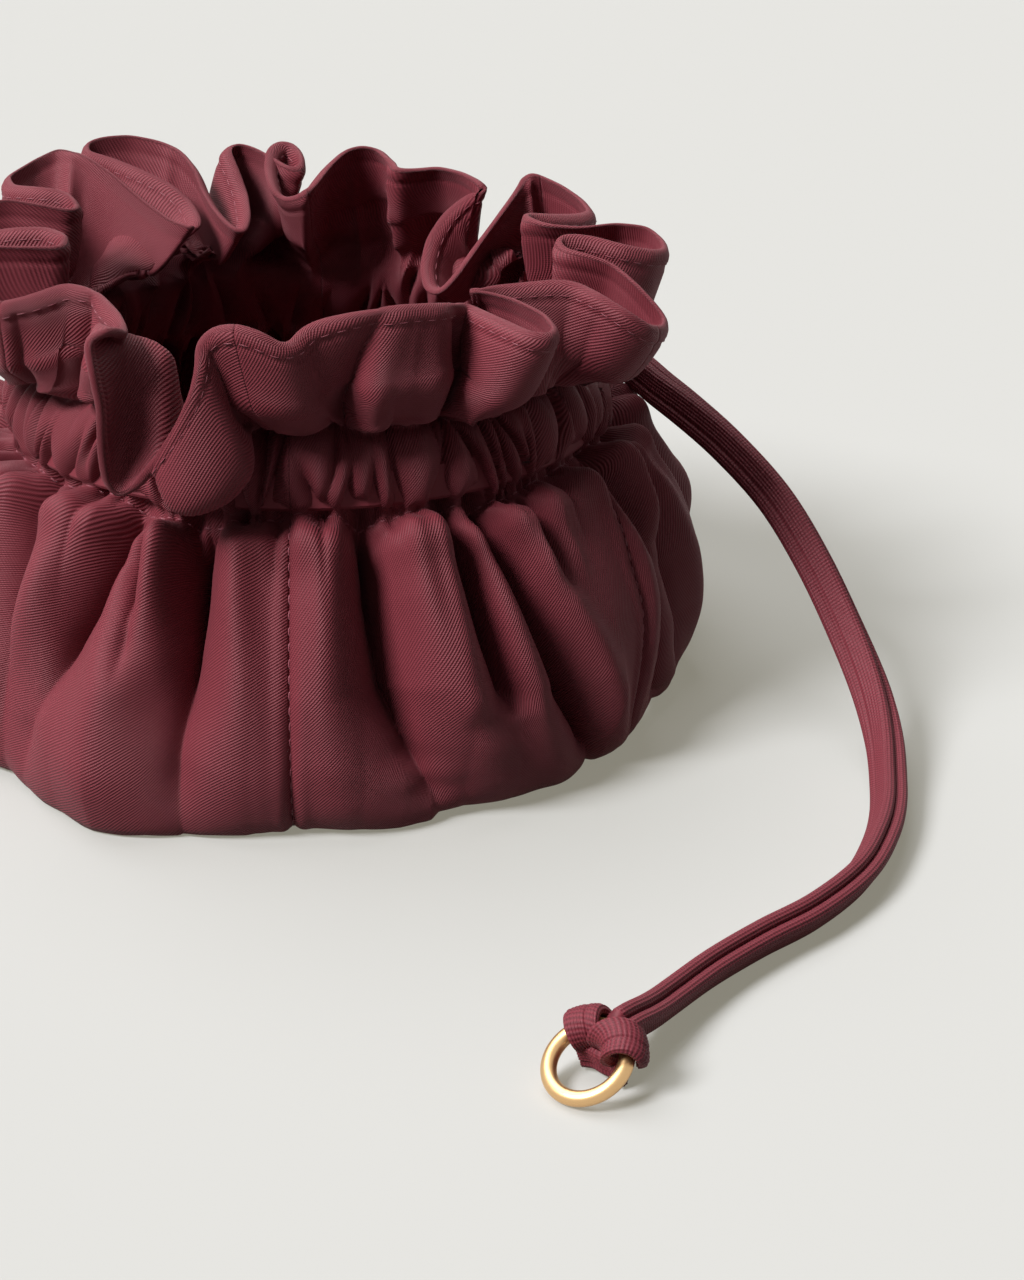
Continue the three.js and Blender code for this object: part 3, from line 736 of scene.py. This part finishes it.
def body_surface(azimuth, folds, neck):
    """Outer and inner points of the body rows."""
    share = np.linspace(0, 1, BODY_ROWS + 1) ** 0.92
    radius, height, out, up, length = outline_at(share)
    from_row = (1 - share) * length
    az, r = np.meshgrid(azimuth, radius)
    h, outward, upward, below = (np.meshgrid(azimuth, rows)[1] for rows in (height, out, up, from_row))
    inward, sideways = body_fold_depth(az, h, folds)
    row_fade = smooth_step(below / 0.006)
    inward = inward * (ROW_FOLD + (1 - ROW_FOLD) * row_fade)
    drift = np.interp(az % 360, [d[0] for d in DRIFT], [d[1] for d in DRIFT])
    sideways = sideways * row_fade + np.radians(drift) * BODY_MIDDLE * smooth_step((0.042 - h) / 0.034)
    gathered = body_puckers(azimuth, from_row, *neck)
    puff = bump_at(below, *BODY_PUFF) * (1 - np.clip(inward / 0.006, 0, 1))
    bulge_table = np.array(BULGES + [(BULGES[0][0] + 360, BULGES[0][1])])
    bulge = np.interp((az - BULGES[0][0]) % 360 + BULGES[0][0], bulge_table[:, 0], bulge_table[:, 1])
    inward -= bulge * smooth_step((0.062 - h) / 0.05)
    inward += gathered - puff
    inward += seam_groove(az, r) * smooth_step(below / 0.004)
    inward += row_groove(below)
    floor_fade = smooth_step(h / 0.005 + 0.35)
    inward = inward * floor_fade
    tilt = NECK_TILT * np.cos(np.radians(az)) * smooth_step(h / LOWER_ROW_HEIGHT)
    tilt = tilt + row_wave(az) * smooth_step((h - 0.060) / 0.017)
    turned = az + np.degrees(sideways / np.maximum(r, 0.05))
    flat = radial(turned)
    outer = flat * (r - inward * outward)[..., None]
    outer[..., 2] = h + tilt - inward * upward
    normal = flat * outward[..., None]
    normal[..., 2] = upward
    inner = outer - normal * PLY
    outer[..., 2] = np.maximum(outer[..., 2], FLOOR_GAP)
    inner[..., 2] = np.maximum(inner[..., 2], FLOOR_GAP + PLY)
    return outer, inner


def channel_surface(azimuth, folds, neck):
    """Outer and inner points of the channel, from the lower row to the upper one."""
    share = np.linspace(0, 1, CHANNEL_ROWS + 1)[1:]
    az, q = np.meshgrid(azimuth, share)
    radius = LOWER_ROW_RADIUS + (UPPER_ROW_RADIUS - LOWER_ROW_RADIUS) * q
    height = LOWER_ROW_HEIGHT + (UPPER_ROW_HEIGHT - LOWER_ROW_HEIGHT) * q
    height = height + NECK_TILT * np.cos(np.radians(az)) + row_wave(az) * (1 - 0.25 * q)
    belly = np.clip(np.sin(np.pi * q), 0, 1) ** 0.6
    length = math.hypot(UPPER_ROW_HEIGHT - LOWER_ROW_HEIGHT, LOWER_ROW_RADIUS - UPPER_ROW_RADIUS)
    row_fold = ROW_FOLD * body_fold_depth(azimuth, np.full_like(azimuth, LOWER_ROW_HEIGHT), folds)[0]
    gathers = neck[0]
    pull = channel_gathers(azimuth, share, gathers)
    at_row = row_pull(azimuth, *neck)
    pull = pull + (at_row - pull) * bell(q * length, 0.0035, 1.5)
    pull = pull + row_fold * bell(q * length, 0.004, 1.5)
    pull = pull + frill_lobes(azimuth, 0.0) * bell((1 - q) * length, 0.0045, 1.5)
    inner_pull = channel_gathers(azimuth + 2.0, share, gathers)
    outer_reach = (CHANNEL_PUFF + 0.0012) * belly - pull * (1 + 0.15 * belly)
    inner_reach = -PLY * 2 - 0.0045 * belly - pull * (1 - belly) + (inner_pull - 0.001) * belly
    for row in (0, 1):
        outer_reach = outer_reach - row_groove((q - row) * length)
    flat = radial(az)
    outer = flat * (radius + outer_reach)[..., None]
    inner = flat * (radius + inner_reach)[..., None]
    outer[..., 2] = height
    inner[..., 2] = height
    return outer, inner


def arc_length(start, end, pull_start, pull_end, amount, samples=14):
    t = np.linspace(0, 1, samples)[:, None, None]
    curve = hermite(start, end, pull_start * amount[:, None], pull_end * amount[:, None], t)
    return np.linalg.norm(np.diff(curve, axis=0), axis=-1).sum(axis=0)


def hermite(start, end, pull_start, pull_end, t):
    return ((2 * t ** 3 - 3 * t ** 2 + 1) * start + (t ** 3 - 2 * t ** 2 + t) * pull_start
            + (-2 * t ** 3 + 3 * t ** 2) * end + (t ** 3 - t ** 2) * pull_end)


def even_columns(curves, count):
    """The same curves, each with evenly spaced points, and their lengths."""
    step = np.linalg.norm(np.diff(curves, axis=0), axis=-1)
    travel = np.concatenate([np.zeros((1, curves.shape[1])), np.cumsum(step, axis=0)])
    out = np.empty((count, curves.shape[1], 3))
    for column in range(curves.shape[1]):
        place = np.linspace(0, travel[-1, column], count)
        for k in range(3):
            out[:, column, k] = np.interp(place, travel[:, column], curves[:, column, k])
    return out, travel[-1]


def flopped_columns(azimuth, start, end):
    """Columns of the flopped lobe: over a ridge on its left, and out and up again on its right."""
    table = np.array(FLOPPED)
    inside = smooth_rows(at_places(azimuth, table[:, 0], table[:, 1:4]), 2.5)
    share = smooth_step(np.interp(azimuth, table[:, 0], table[:, 4]))
    through = 0.62 * (end - start)
    t = np.linspace(0, 1, 24)[:, None, None]
    rising = hermite(start, inside, 1.15 * (inside - start) + [0, 0, 0.004], through, t)
    falling = hermite(inside, end, through, 1.05 * (end - inside), t)
    return np.concatenate([rising, falling[1:]]), share


def frill_middle(azimuth):
    """Middle surface of the frill: each column runs from the upper row to the hem, as long as the cloth."""
    flat = radial(azimuth)
    start = flat * (UPPER_ROW_RADIUS - PLY)
    start[..., 2] = UPPER_ROW_HEIGHT + NECK_TILT * np.cos(np.radians(azimuth))
    end = hem_at(azimuth)
    start[..., 2] += 0.75 * row_wave(azimuth)
    up = np.array([0, 0, 1.0])
    across = end - start
    lean = across * [1, 1, 0] / FRILL_CLOTH
    pull_start = unit(0.78 * up + 1.60 * lean + 0.10 * flat)
    pull_end = unit(across + 0.022 * up)
    low = np.full(len(azimuth), 0.25 * FRILL_CLOTH)
    high = np.full(len(azimuth), 3.2 * FRILL_CLOTH)
    for _ in range(22):
        middle = 0.5 * (low + high)
        longer = arc_length(start, end, pull_start, pull_end, middle) > FRILL_CLOTH
        high = np.where(longer, middle, high)
        low = np.where(longer, low, middle)
    amount = np.minimum(0.5 * (low + high), 2.0 * FRILL_CLOTH)
    amount = smooth_rows(amount[:, None], 4)
    t = np.linspace(0, 1, 40)[:, None, None]
    plain = hermite(start, end, pull_start * amount, pull_end * amount, t)
    plain, plain_length = even_columns(plain, FRILL_ROWS + 1)
    wrapped = (azimuth + 180) % 360 - 180
    flopped, share = flopped_columns(wrapped, start, end)
    flopped, flopped_length = even_columns(flopped, FRILL_ROWS + 1)
    outside = (wrapped < FLOPPED[0][0]) | (wrapped > FLOPPED[-1][0])
    share = np.where(outside, 0, share)
    middle = plain + (flopped - plain) * share[:, None]
    return middle, plain_length + (flopped_length - plain_length) * share, share


def grid_normals(points):
    along = np.gradient(points, axis=1)
    up = np.gradient(points, axis=0)
    return unit(np.cross(along, up))


def frill_lobes(azimuth, share):
    """How far the creases between the lobes pull the frill in, at one share of its height."""
    creases = np.array(FRILL_CREASES)
    level = (0.35 + 0.65 * smooth_step(np.array(share / 0.18))) * max(1 - share, 0) ** creases[:, 3]
    return gather_pull(azimuth, creases, creases[:, 2] * share, creases[:, 1] * level)


def frill_surface(azimuth, gathers):
    middle, cloth, flopped = frill_middle(azimuth)
    share = np.linspace(0, 1, FRILL_ROWS + 1)
    az, t = np.meshgrid(azimuth, share)
    pull = channel_gathers(azimuth, [1.0], gathers)
    flat = radial(az)
    true_normal = grid_normals(middle)
    blend = smooth_step(t / 0.35)[..., None]
    normal = unit(flat * (1 - blend) + true_normal * blend)
    fade = bell(t, 0.20, 1.2)
    groove = row_groove(t * FRILL_CLOTH)
    puff = bump_at(t * FRILL_CLOTH, *FRILL_PUFF)
    lobes = np.array([frill_lobes(azimuth, row) for row in share])
    lobes = lobes * (1 - 0.8 * flopped * smooth_step(t / 0.10))
    swell = smooth_step(t / 0.20) * np.clip(1 - t, 0, 1) ** 0.55 * (1 - 0.8 * flopped)
    puff = puff * (1 - flopped)
    middle = middle + normal * (puff - groove - pull * fade - 1.15 * lobes + FRILL_SWELL * swell)[..., None]
    half = np.full_like(t, DOUBLE_PLY / 2)
    half[0] = PLY
    from_hem = (1 - t) * cloth[None, :]
    half = half + bump_at(from_hem, *HEM_ROLL) - bump_at(from_hem, *HEM_DIP)
    outer = middle + normal * half[..., None]
    inner = middle - normal * half[..., None]
    return outer, inner, middle, normal, half, cloth


def hem_round(middle, normal, half):
    """Half circle over the frill's edge, from the outer face to the inner one."""
    edge = middle[-1]
    ahead = unit(middle[-1] - middle[-2])
    rows = []
    for k in range(1, HEM_ROWS):
        a = math.pi * k / HEM_ROWS
        rows.append(edge + normal[-1] * (math.cos(a) * half[-1])[:, None]
                    + ahead * (math.sin(a) * half[-1])[:, None])
    return np.array(rows)


def widths_along(rows):
    """Arc length along each row, from the middle column."""
    step = np.linalg.norm(np.diff(rows, axis=1), axis=-1)
    travel = np.concatenate([np.zeros((len(rows), 1)), np.cumsum(step, axis=1)], axis=1)
    return travel - travel[:, -1:] / 2


def flopped_cloth(uv, outer, azimuth):
    """Cloth coordinates of the flopped lobe, laid out as it faces the front and joined on at its right."""
    table = np.array(FLOPPED)
    inside = (azimuth > table[0, 0]) & (azimuth < table[-1, 0])
    share = np.where(inside, smooth_step(np.interp(azimuth, table[:, 0], table[:, 4])), 0)
    rise = np.zeros(len(outer))
    rise[-FRILL_ROWS - 1:] = smooth_step(np.linspace(0, 8, FRILL_ROWS + 1))
    weight = (rise[:, None] * share[None, :])[..., None]
    down = math.radians(CAMERA_DOWN)
    across = outer[..., 0]
    upward = outer[..., 1] * math.sin(down) + outer[..., 2] * math.cos(down)
    turn = math.radians(FLOPPED_TURN)
    flat = np.stack([across * math.cos(turn) - upward * math.sin(turn),
                     across * math.sin(turn) + upward * math.cos(turn)], axis=-1)
    edge = np.argmin(np.abs(azimuth - table[-2, 0]))
    flat = flat + (uv[-FRILL_ROWS:, edge] - flat[-FRILL_ROWS:, edge]).mean(axis=0)
    return uv + (flat - uv) * weight


def make_panel(index, folds, neck):
    azimuth = panel_columns(index)
    gap = np.zeros_like(azimuth)
    gap[0] = 0.03
    gap[-1] = -0.03
    azimuth = azimuth + gap
    body_out, body_in = body_surface(azimuth, folds, neck)
    channel_out, channel_in = channel_surface(azimuth, folds, neck)
    ahead = (azimuth[-1] - azimuth[-2]) * np.arange(1, FRILL_MARGIN + 1)
    wide = np.concatenate([azimuth[0] - ahead[::-1], azimuth, azimuth[-1] + ahead])
    inside = slice(FRILL_MARGIN, -FRILL_MARGIN)
    *surfaces, cloth = frill_surface(wide, neck[0])
    frill_out, frill_in, middle, normal, half = (surface[:, inside] for surface in surfaces)
    cloth = cloth[inside]
    rounded = hem_round(middle, normal, half)
    outer = np.concatenate([body_out, channel_out, frill_out[1:]])
    inner = np.concatenate([body_in, channel_in, frill_in[1:]])
    below = np.concatenate([body_out, channel_out])
    rise = np.linalg.norm(np.diff(below, axis=0), axis=-1).mean(axis=1)
    v_below = np.concatenate([[0], np.cumsum(rise)])
    frill_share = np.linspace(0, 1, FRILL_ROWS + 1)[1:, None]
    v_frill = v_below[-1] + frill_share * smooth_rows(cloth[:, None], 6)[None, :, 0]
    v = np.concatenate([v_below[:, None] * np.ones(len(azimuth)), v_frill])
    widths = smooth_rows(widths_along(outer), 4)
    if index == 5:
        widths = widths - widths[:, -1:]
    own = np.full(len(outer), 0.22)
    own_frill = 0.80 if index == 5 else 0.62
    own[-FRILL_ROWS - 1:] += own_frill * smooth_step(np.linspace(0, 2, FRILL_ROWS + 1))
    u = (1 - own[:, None]) * widths.mean(axis=0)[None, :] + own[:, None] * widths
    turn = math.radians(GRAIN_TURN[index])
    u, v = u * math.cos(turn) - v * math.sin(turn), u * math.sin(turn) + v * math.cos(turn)
    uv = np.stack([u, v], axis=-1)
    if index == 5:
        uv = flopped_cloth(uv, outer, azimuth - 360)
    upward = PLY * np.array([-math.sin(turn), math.cos(turn)])
    hem_uv = uv[-1] + np.arange(1, HEM_ROWS)[:, None, None] * upward
    loop = np.concatenate([outer, rounded, inner[::-1]])
    loop_uv = np.concatenate([uv, hem_uv, uv[::-1]])
    rows, columns = loop.shape[:2]
    grid = np.arange(rows * columns).reshape(rows, columns)
    above = np.roll(grid, -1, axis=0)
    faces = quads_between(grid[:, :-1], grid[:, 1:], above[:, 1:], above[:, :-1])
    count = len(outer)
    for edge, order in ((grid[:, 0], 1), (grid[:, -1], -1)):
        for k in range(count - 1):
            faces.append((edge[k], edge[k + 1], edge[rows - 2 - k], edge[rows - 1 - k])[::order])
        faces.append(edge[count - 1:count + HEM_ROWS][::order])
    return make_object(f"twill_panel_{index + 1}", loop.reshape(-1, 3), faces, loop_uv.reshape(-1, 2)), outer


# Strap


def smooth_route(points, step=0.002):
    """Centripetal Catmull-Rom curve through the points, with even steps."""
    p = np.array(points)
    p = np.vstack([2 * p[0] - p[1], p, 2 * p[-1] - p[-2]])
    out = []
    for a, b, c, d in zip(p[:-3], p[1:-2], p[2:-1], p[3:]):
        t0 = 0
        t1 = t0 + math.sqrt(np.linalg.norm(b - a))
        t2 = t1 + math.sqrt(np.linalg.norm(c - b))
        t3 = t2 + math.sqrt(np.linalg.norm(d - c))
        for t in np.linspace(t1, t2, 16, endpoint=False):
            ab = (t1 - t) / (t1 - t0) * a + (t - t0) / (t1 - t0) * b
            bc = (t2 - t) / (t2 - t1) * b + (t - t1) / (t2 - t1) * c
            cd = (t3 - t) / (t3 - t2) * c + (t - t2) / (t3 - t2) * d
            abc = (t2 - t) / (t2 - t0) * ab + (t - t0) / (t2 - t0) * bc
            bcd = (t3 - t) / (t3 - t1) * bc + (t - t1) / (t3 - t1) * cd
            out.append((t2 - t) / (t2 - t1) * abc + (t - t1) / (t2 - t1) * bcd)
    out.append(p[-2])
    out = np.array(out)
    travel = travel_along(out)
    return at_places(np.linspace(0, travel[-1], int(travel[-1] / step) + 1), travel, out)


def carried_width(route):
    """Width direction along a route: upright at its start, then carried on without twist."""
    tangent = unit(np.gradient(route, axis=0))
    width = [np.array([0, 0, 1.0])]
    for t in tangent:
        w = width[-1] - t * np.dot(width[-1], t)
        width.append(w / np.linalg.norm(w))
    return tangent, np.array(width[1:])


def strap_outline(width, thickness):
    """Section of the folded strap: two flats, two round edges, ribs all round and a slit on each flat."""
    flat = width - thickness
    r = thickness / 2
    girth = 2 * flat + 2 * math.pi * r
    ribs = round(girth / RIB_PITCH)
    count = 4 * ribs
    points = []
    for k in range(count):
        place = girth * k / count
        lift = RIB_DEPTH * math.cos(2 * math.pi * ribs * k / count)
        if place < flat:
            x = place - flat / 2
            lift -= SLIT_DEPTH * math.exp(-((x - SLIT_PLACE) / SLIT_HALF) ** 2)
            points.append((x, -r - lift))
        elif place < flat + math.pi * r:
            a = (place - flat) / r - math.pi / 2
            points.append((flat / 2 + (r + lift) * math.cos(a), (r + lift) * math.sin(a)))
        elif place < 2 * flat + math.pi * r:
            x = flat / 2 - (place - flat - math.pi * r)
            lift -= SLIT_DEPTH * math.exp(-((x + SLIT_PLACE) / SLIT_HALF) ** 2)
            points.append((x, r + lift))
        else:
            a = (place - 2 * flat - math.pi * r) / r + math.pi / 2
            points.append((-flat / 2 + (r + lift) * math.cos(a), (r + lift) * math.sin(a)))
    return np.array(points)


def facing_turn(route, tangent, width_direction):
    """How far each section turns about the route for its broad face to look at the camera's place."""
    across = unit(np.cross(tangent, width_direction))
    view = unit(np.array(CAMERA_PLACE) - route)
    return np.arctan2(-(view * width_direction).sum(axis=1), (view * across).sum(axis=1))


def turned_width(route, tangent, width_direction, travel):
    """The strap turns its broad face forward in its arch and stands on edge on the floor."""
    across = unit(np.cross(tangent, width_direction))
    turn = facing_turn(route, tangent, width_direction)
    turn = np.unwrap(2 * ((turn + math.pi / 2) % math.pi - math.pi / 2)) / 2
    share = np.interp(travel, [0, 0.03, 0.07, 0.14, 0.185, 0.335], [0, 0.2, 0.75, 0.85, 0.1, 0.1])
    angle = turn * smooth_rows(share[:, None], 5)[:, 0]
    return (width_direction * np.cos(angle)[:, None] + across * np.sin(angle)[:, None])


def ribbon(name, centre, width_direction, tangent, outline):
    """A strap along a route: the outline's x runs along the width and y along the thickness."""
    across = unit(np.cross(tangent, width_direction))
    sections = (centre[:, None, :] + outline[None, :, :1] * width_direction[:, None, :]
                + outline[None, :, 1:] * across[:, None, :])
    return solid_of(name, sections, outline, centre)


def solid_of(name, sections, outline, centre):
    """A closed solid from cross-sections with the same number of points, along a middle line."""
    count, sides = sections.shape[:2]
    uv = np.stack(np.meshgrid(travel_along(outline), travel_along(centre)), axis=-1)
    grid = np.arange(count * sides).reshape(count, sides)
    ahead = np.roll(grid, -1, axis=1)
    quads = quads_between(grid[:-1], ahead[:-1], ahead[1:], grid[1:])
    faces = [*quads, grid[0][::-1], grid[-1]]
    return make_object(name, sections.reshape(-1, 3), faces, uv.reshape(-1, 2))


# Hitch and ring

RING_AXIS = np.array(RING_NORMAL) / np.linalg.norm(RING_NORMAL)
# Directions in the ring's plane: towards the hitch, and along the wire there
TO_HITCH = np.array([0.589, 0.610, 0.530])
ALONG_WIRE = np.cross(RING_AXIS, TO_HITCH)


def ring_point(angle, outward, lift):
    """A place by its angle on the ring, its distance outward from the wire, and its lift off the plane."""
    a = np.radians(angle)
    spoke = TO_HITCH * np.cos(a)[..., None] + ALONG_WIRE * np.sin(a)[..., None]
    return np.array(RING_PLACE) + spoke * (RING_RADIUS + outward)[..., None] + RING_AXIS * lift[..., None]


def wrap(name, steps):
    """A turn of the strap over the wire. Each step: angle round the wire, angle on the ring, lift, width."""
    steps = np.array(steps)
    key = np.linspace(0, 1, len(steps))
    place = np.linspace(0, 1, WRAP_SECTIONS)
    turn, spot, lift, width = smooth_rows(at_places(place, key, steps), 3).T
    outline = strap_outline(STRAP_WIDTH, WRAP_THICKNESS)
    around = np.radians(turn)
    sections = []
    for k in range(WRAP_SECTIONS):
        distance = lift[k] + outline[:, 1]
        outward = distance * math.cos(around[k])
        reach = RING_RADIUS + outward
        angle = spot[k] + np.degrees(outline[:, 0] * (width[k] / STRAP_WIDTH) / np.maximum(reach, 0.004))
        sections.append(ring_point(angle, outward, distance * math.sin(around[k])))
    sections = np.array(sections)
    return solid_of(name, sections, outline, sections.mean(axis=1))


def make_hitch():
    left = wrap("hitch_left", WRAP_LEFT)
    right = wrap("hitch_right", WRAP_RIGHT)
    steps = np.array(BIGHT)
    points = ring_point(steps[:, 0], steps[:, 1], steps[:, 2])
    centre = smooth_route(points, 0.0008)
    tangent = unit(np.gradient(centre, axis=0))
    upright = RING_AXIS * np.ones_like(centre) + np.array([0, 0, 0.6])
    upright = unit(upright - tangent * (upright * tangent).sum(axis=1)[:, None])
    bight = ribbon("hitch_bight", centre, upright, tangent, strap_outline(BIGHT_WIDTH, BIGHT_THICKNESS))
    return [left, right, bight]


def make_ring():
    a = np.linspace(0, 360, RING_ROUNDS, endpoint=False)
    b = np.linspace(0, 2 * math.pi, WIRE_SIDES, endpoint=False)
    angle, around = np.meshgrid(a, b, indexing="ij")
    points = ring_point(angle, WIRE_RADIUS * np.cos(around), WIRE_RADIUS * np.sin(around))
    grid = np.arange(RING_ROUNDS * WIRE_SIDES).reshape(RING_ROUNDS, WIRE_SIDES)
    right = np.roll(grid, -1, axis=0)
    quads = quads_between(grid, right, np.roll(right, -1, axis=1), np.roll(grid, -1, axis=1))
    return make_object("gilt_ring", points.reshape(-1, 3), quads)


# Threads


def stitch_mesh(name, lines, normals, radius):
    """Rows of stitches: each line is sampled along the cloth, and a stitch dips into it at both ends."""
    points = []
    faces = []
    arc = np.sin(np.linspace(0, math.pi, STITCH_RINGS))
    last = (STITCH_RINGS - 1) * STITCH_SIDES
    for line, normal in zip(lines, normals):
        travel = travel_along(line)
        start = 0.5 * STITCH_GAP
        while start + STITCH_LENGTH < travel[-1]:
            place = start + STITCH_LENGTH * np.linspace(0, 1, STITCH_RINGS)
            centre = at_places(place, travel, line)
            up = unit(at_places(place, travel, normal))
            side = unit(np.cross(unit(np.gradient(centre, axis=0)), up))
            centre = centre + up * (radius * (1.9 * arc ** 0.6 - 1.1))[:, None]
            base = len(points)
            for k in range(STITCH_RINGS):
                size = radius * (0.75 + 0.35 * arc[k])
                for j in range(STITCH_SIDES):
                    a = 2 * math.pi * j / STITCH_SIDES
                    points.append(centre[k] + side[k] * size * math.cos(a) + up[k] * size * math.sin(a))
            for ring in range(base, base + last, STITCH_SIDES):
                for j in range(STITCH_SIDES):
                    m = (j + 1) % STITCH_SIDES
                    faces.append((ring + j, ring + m, ring + STITCH_SIDES + m, ring + STITCH_SIDES + j))
            faces.append([base + j for j in reversed(range(STITCH_SIDES))])
            faces.append([base + last + j for j in range(STITCH_SIDES)])
            start += STITCH_LENGTH + STITCH_GAP
    return make_object(name, points, faces)


# Scene


def seen_ray(tree):
    """1 where the camera or a mirror looks, and 0 for light that bounces."""
    path = tree.nodes.new("ShaderNodeLightPath")
    return maths(tree, "MAXIMUM", path.outputs["Is Camera Ray"], path.outputs["Is Glossy Ray"])


def add_floor():
    corners = [(-4, -4, FLOOR_HEIGHT), (4, -4, FLOOR_HEIGHT), (4, 6, FLOOR_HEIGHT), (-4, 6, FLOOR_HEIGHT)]
    floor = make_object("floor", corners, [(0, 1, 2, 3)], smooth=False)
    material, tree, shader = new_material("floor")
    seen = seen_ray(tree)
    tree.links.new(mix_colours(tree, seen, FLOOR_BOUNCE, FLOOR_COLOUR), shader.inputs["Base Color"])
    set_inputs(shader, {"Roughness": 0.9, "Specular IOR Level": 0.1})
    glow = tree.nodes.new("ShaderNodeEmission")
    set_inputs(glow, {"Color": (*FLOOR_SHADE, 1)})
    blend = tree.nodes.new("ShaderNodeMixShader")
    tree.links.new(times(tree, seen, FLOOR_GLOW), blend.inputs[0])
    tree.links.new(shader.outputs[0], blend.inputs[1])
    tree.links.new(glow.outputs[0], blend.inputs[2])
    tree.links.new(blend.outputs[0], tree.nodes["Material Output"].inputs["Surface"])
    floor.data.materials.append(material)


def add_light():
    world = bpy.data.worlds.new("studio")
    world.use_nodes = True
    bpy.context.scene.world = world
    tree = world.node_tree
    background = tree.nodes["Background"]
    seen = seen_ray(tree)
    tree.links.new(mix_colours(tree, seen, AMBIENT_COLOUR, BACKGROUND), background.inputs["Color"])
    strength = plus(tree, times(tree, seen, 1 - AMBIENT), AMBIENT)
    tree.links.new(strength, background.inputs["Strength"])
    for name, place, energy, angle in LAMPS:
        data = bpy.data.lights.new(name, "SUN")
        data.energy = energy
        data.angle = math.radians(angle)
        lamp = bpy.data.objects.new(name, data)
        lamp.rotation_euler = (-Vector(place)).to_track_quat("-Z", "Y").to_euler()
        bpy.context.scene.collection.objects.link(lamp)
    bpy.context.scene.view_settings.view_transform = "Standard"


def dress(item, material, body, replaced=()):
    item.data.materials.clear()
    item.data.materials.append(material)
    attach(item, body)
    if replaced:
        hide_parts(*replaced)


set_camera()
add_floor()
add_light()

twill = make_twill("twill", TWILL_RIDGE_LIT, TWILL_GROOVE_SHADE)
strap_twill = make_twill("strap_twill", STRAP_RIDGE_LIT, STRAP_GROOVE_SHADE, STRAP_PITCH, STRAP_ANGLE, 0.00012)
gilt = make_gilt()

route = smooth_route(STRAP_ROUTE)
tangent, width_direction = carried_width(route)
width_direction = turned_width(route, tangent, width_direction, travel_along(route))
across = unit(np.cross(tangent, width_direction))
outline = strap_outline(STRAP_WIDTH, STRAP_THICKNESS)
for number, side in ((1, 1), (2, -1)):
    centre = route + across * side * STRAP_OFFSET
    strand = ribbon(f"strand_{number}", centre, width_direction, tangent, outline)
    dress(strand, strap_twill, "pouch", (f"drawstring_strand_{number}",))

random = np.random.default_rng(SEED)
neck = (make_gathers(random), make_puckers(random))
folds = FOLDS + back_folds(random)
outers = []
for index in range(PANEL_COUNT):
    panel, outer = make_panel(index, folds, neck)
    outers.append(outer)
    dress(panel, twill, "pouch", (f"side_panel_{index + 1}",))

hitch = make_hitch()
for piece in hitch:
    dress(piece, strap_twill, "pouch", ("drawstring_hitch",))
gilt_ring = make_ring()
dress(gilt_ring, gilt, "ring", ("ring",))

thread = make_thread()
seam_rows = slice(4, BODY_ROWS - 1)
threads = {
    "lower_row": (BODY_ROWS, THREAD_RADIUS),
    "upper_row": (BODY_ROWS + CHANNEL_ROWS, THREAD_RADIUS),
    "hem": (BODY_ROWS + CHANNEL_ROWS + FRILL_ROWS - 3, HEM_THREAD_RADIUS),
    "seams": ((seam_rows, 0), THREAD_RADIUS),
}
outer_normals = [grid_normals(outer) for outer in outers]
for name, (where, radius) in threads.items():
    lines = [outer[where] for outer in outers]
    normals = [normal[where] for normal in outer_normals]
    dress(stitch_mesh(f"stitches_{name}", lines, normals, radius), thread, "pouch")

for name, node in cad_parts.items():
    slot_material = {"ring": gilt, "base_panel": twill}.get(name, strap_twill)
    node.data.materials.clear()
    node.data.materials.append(slot_material)
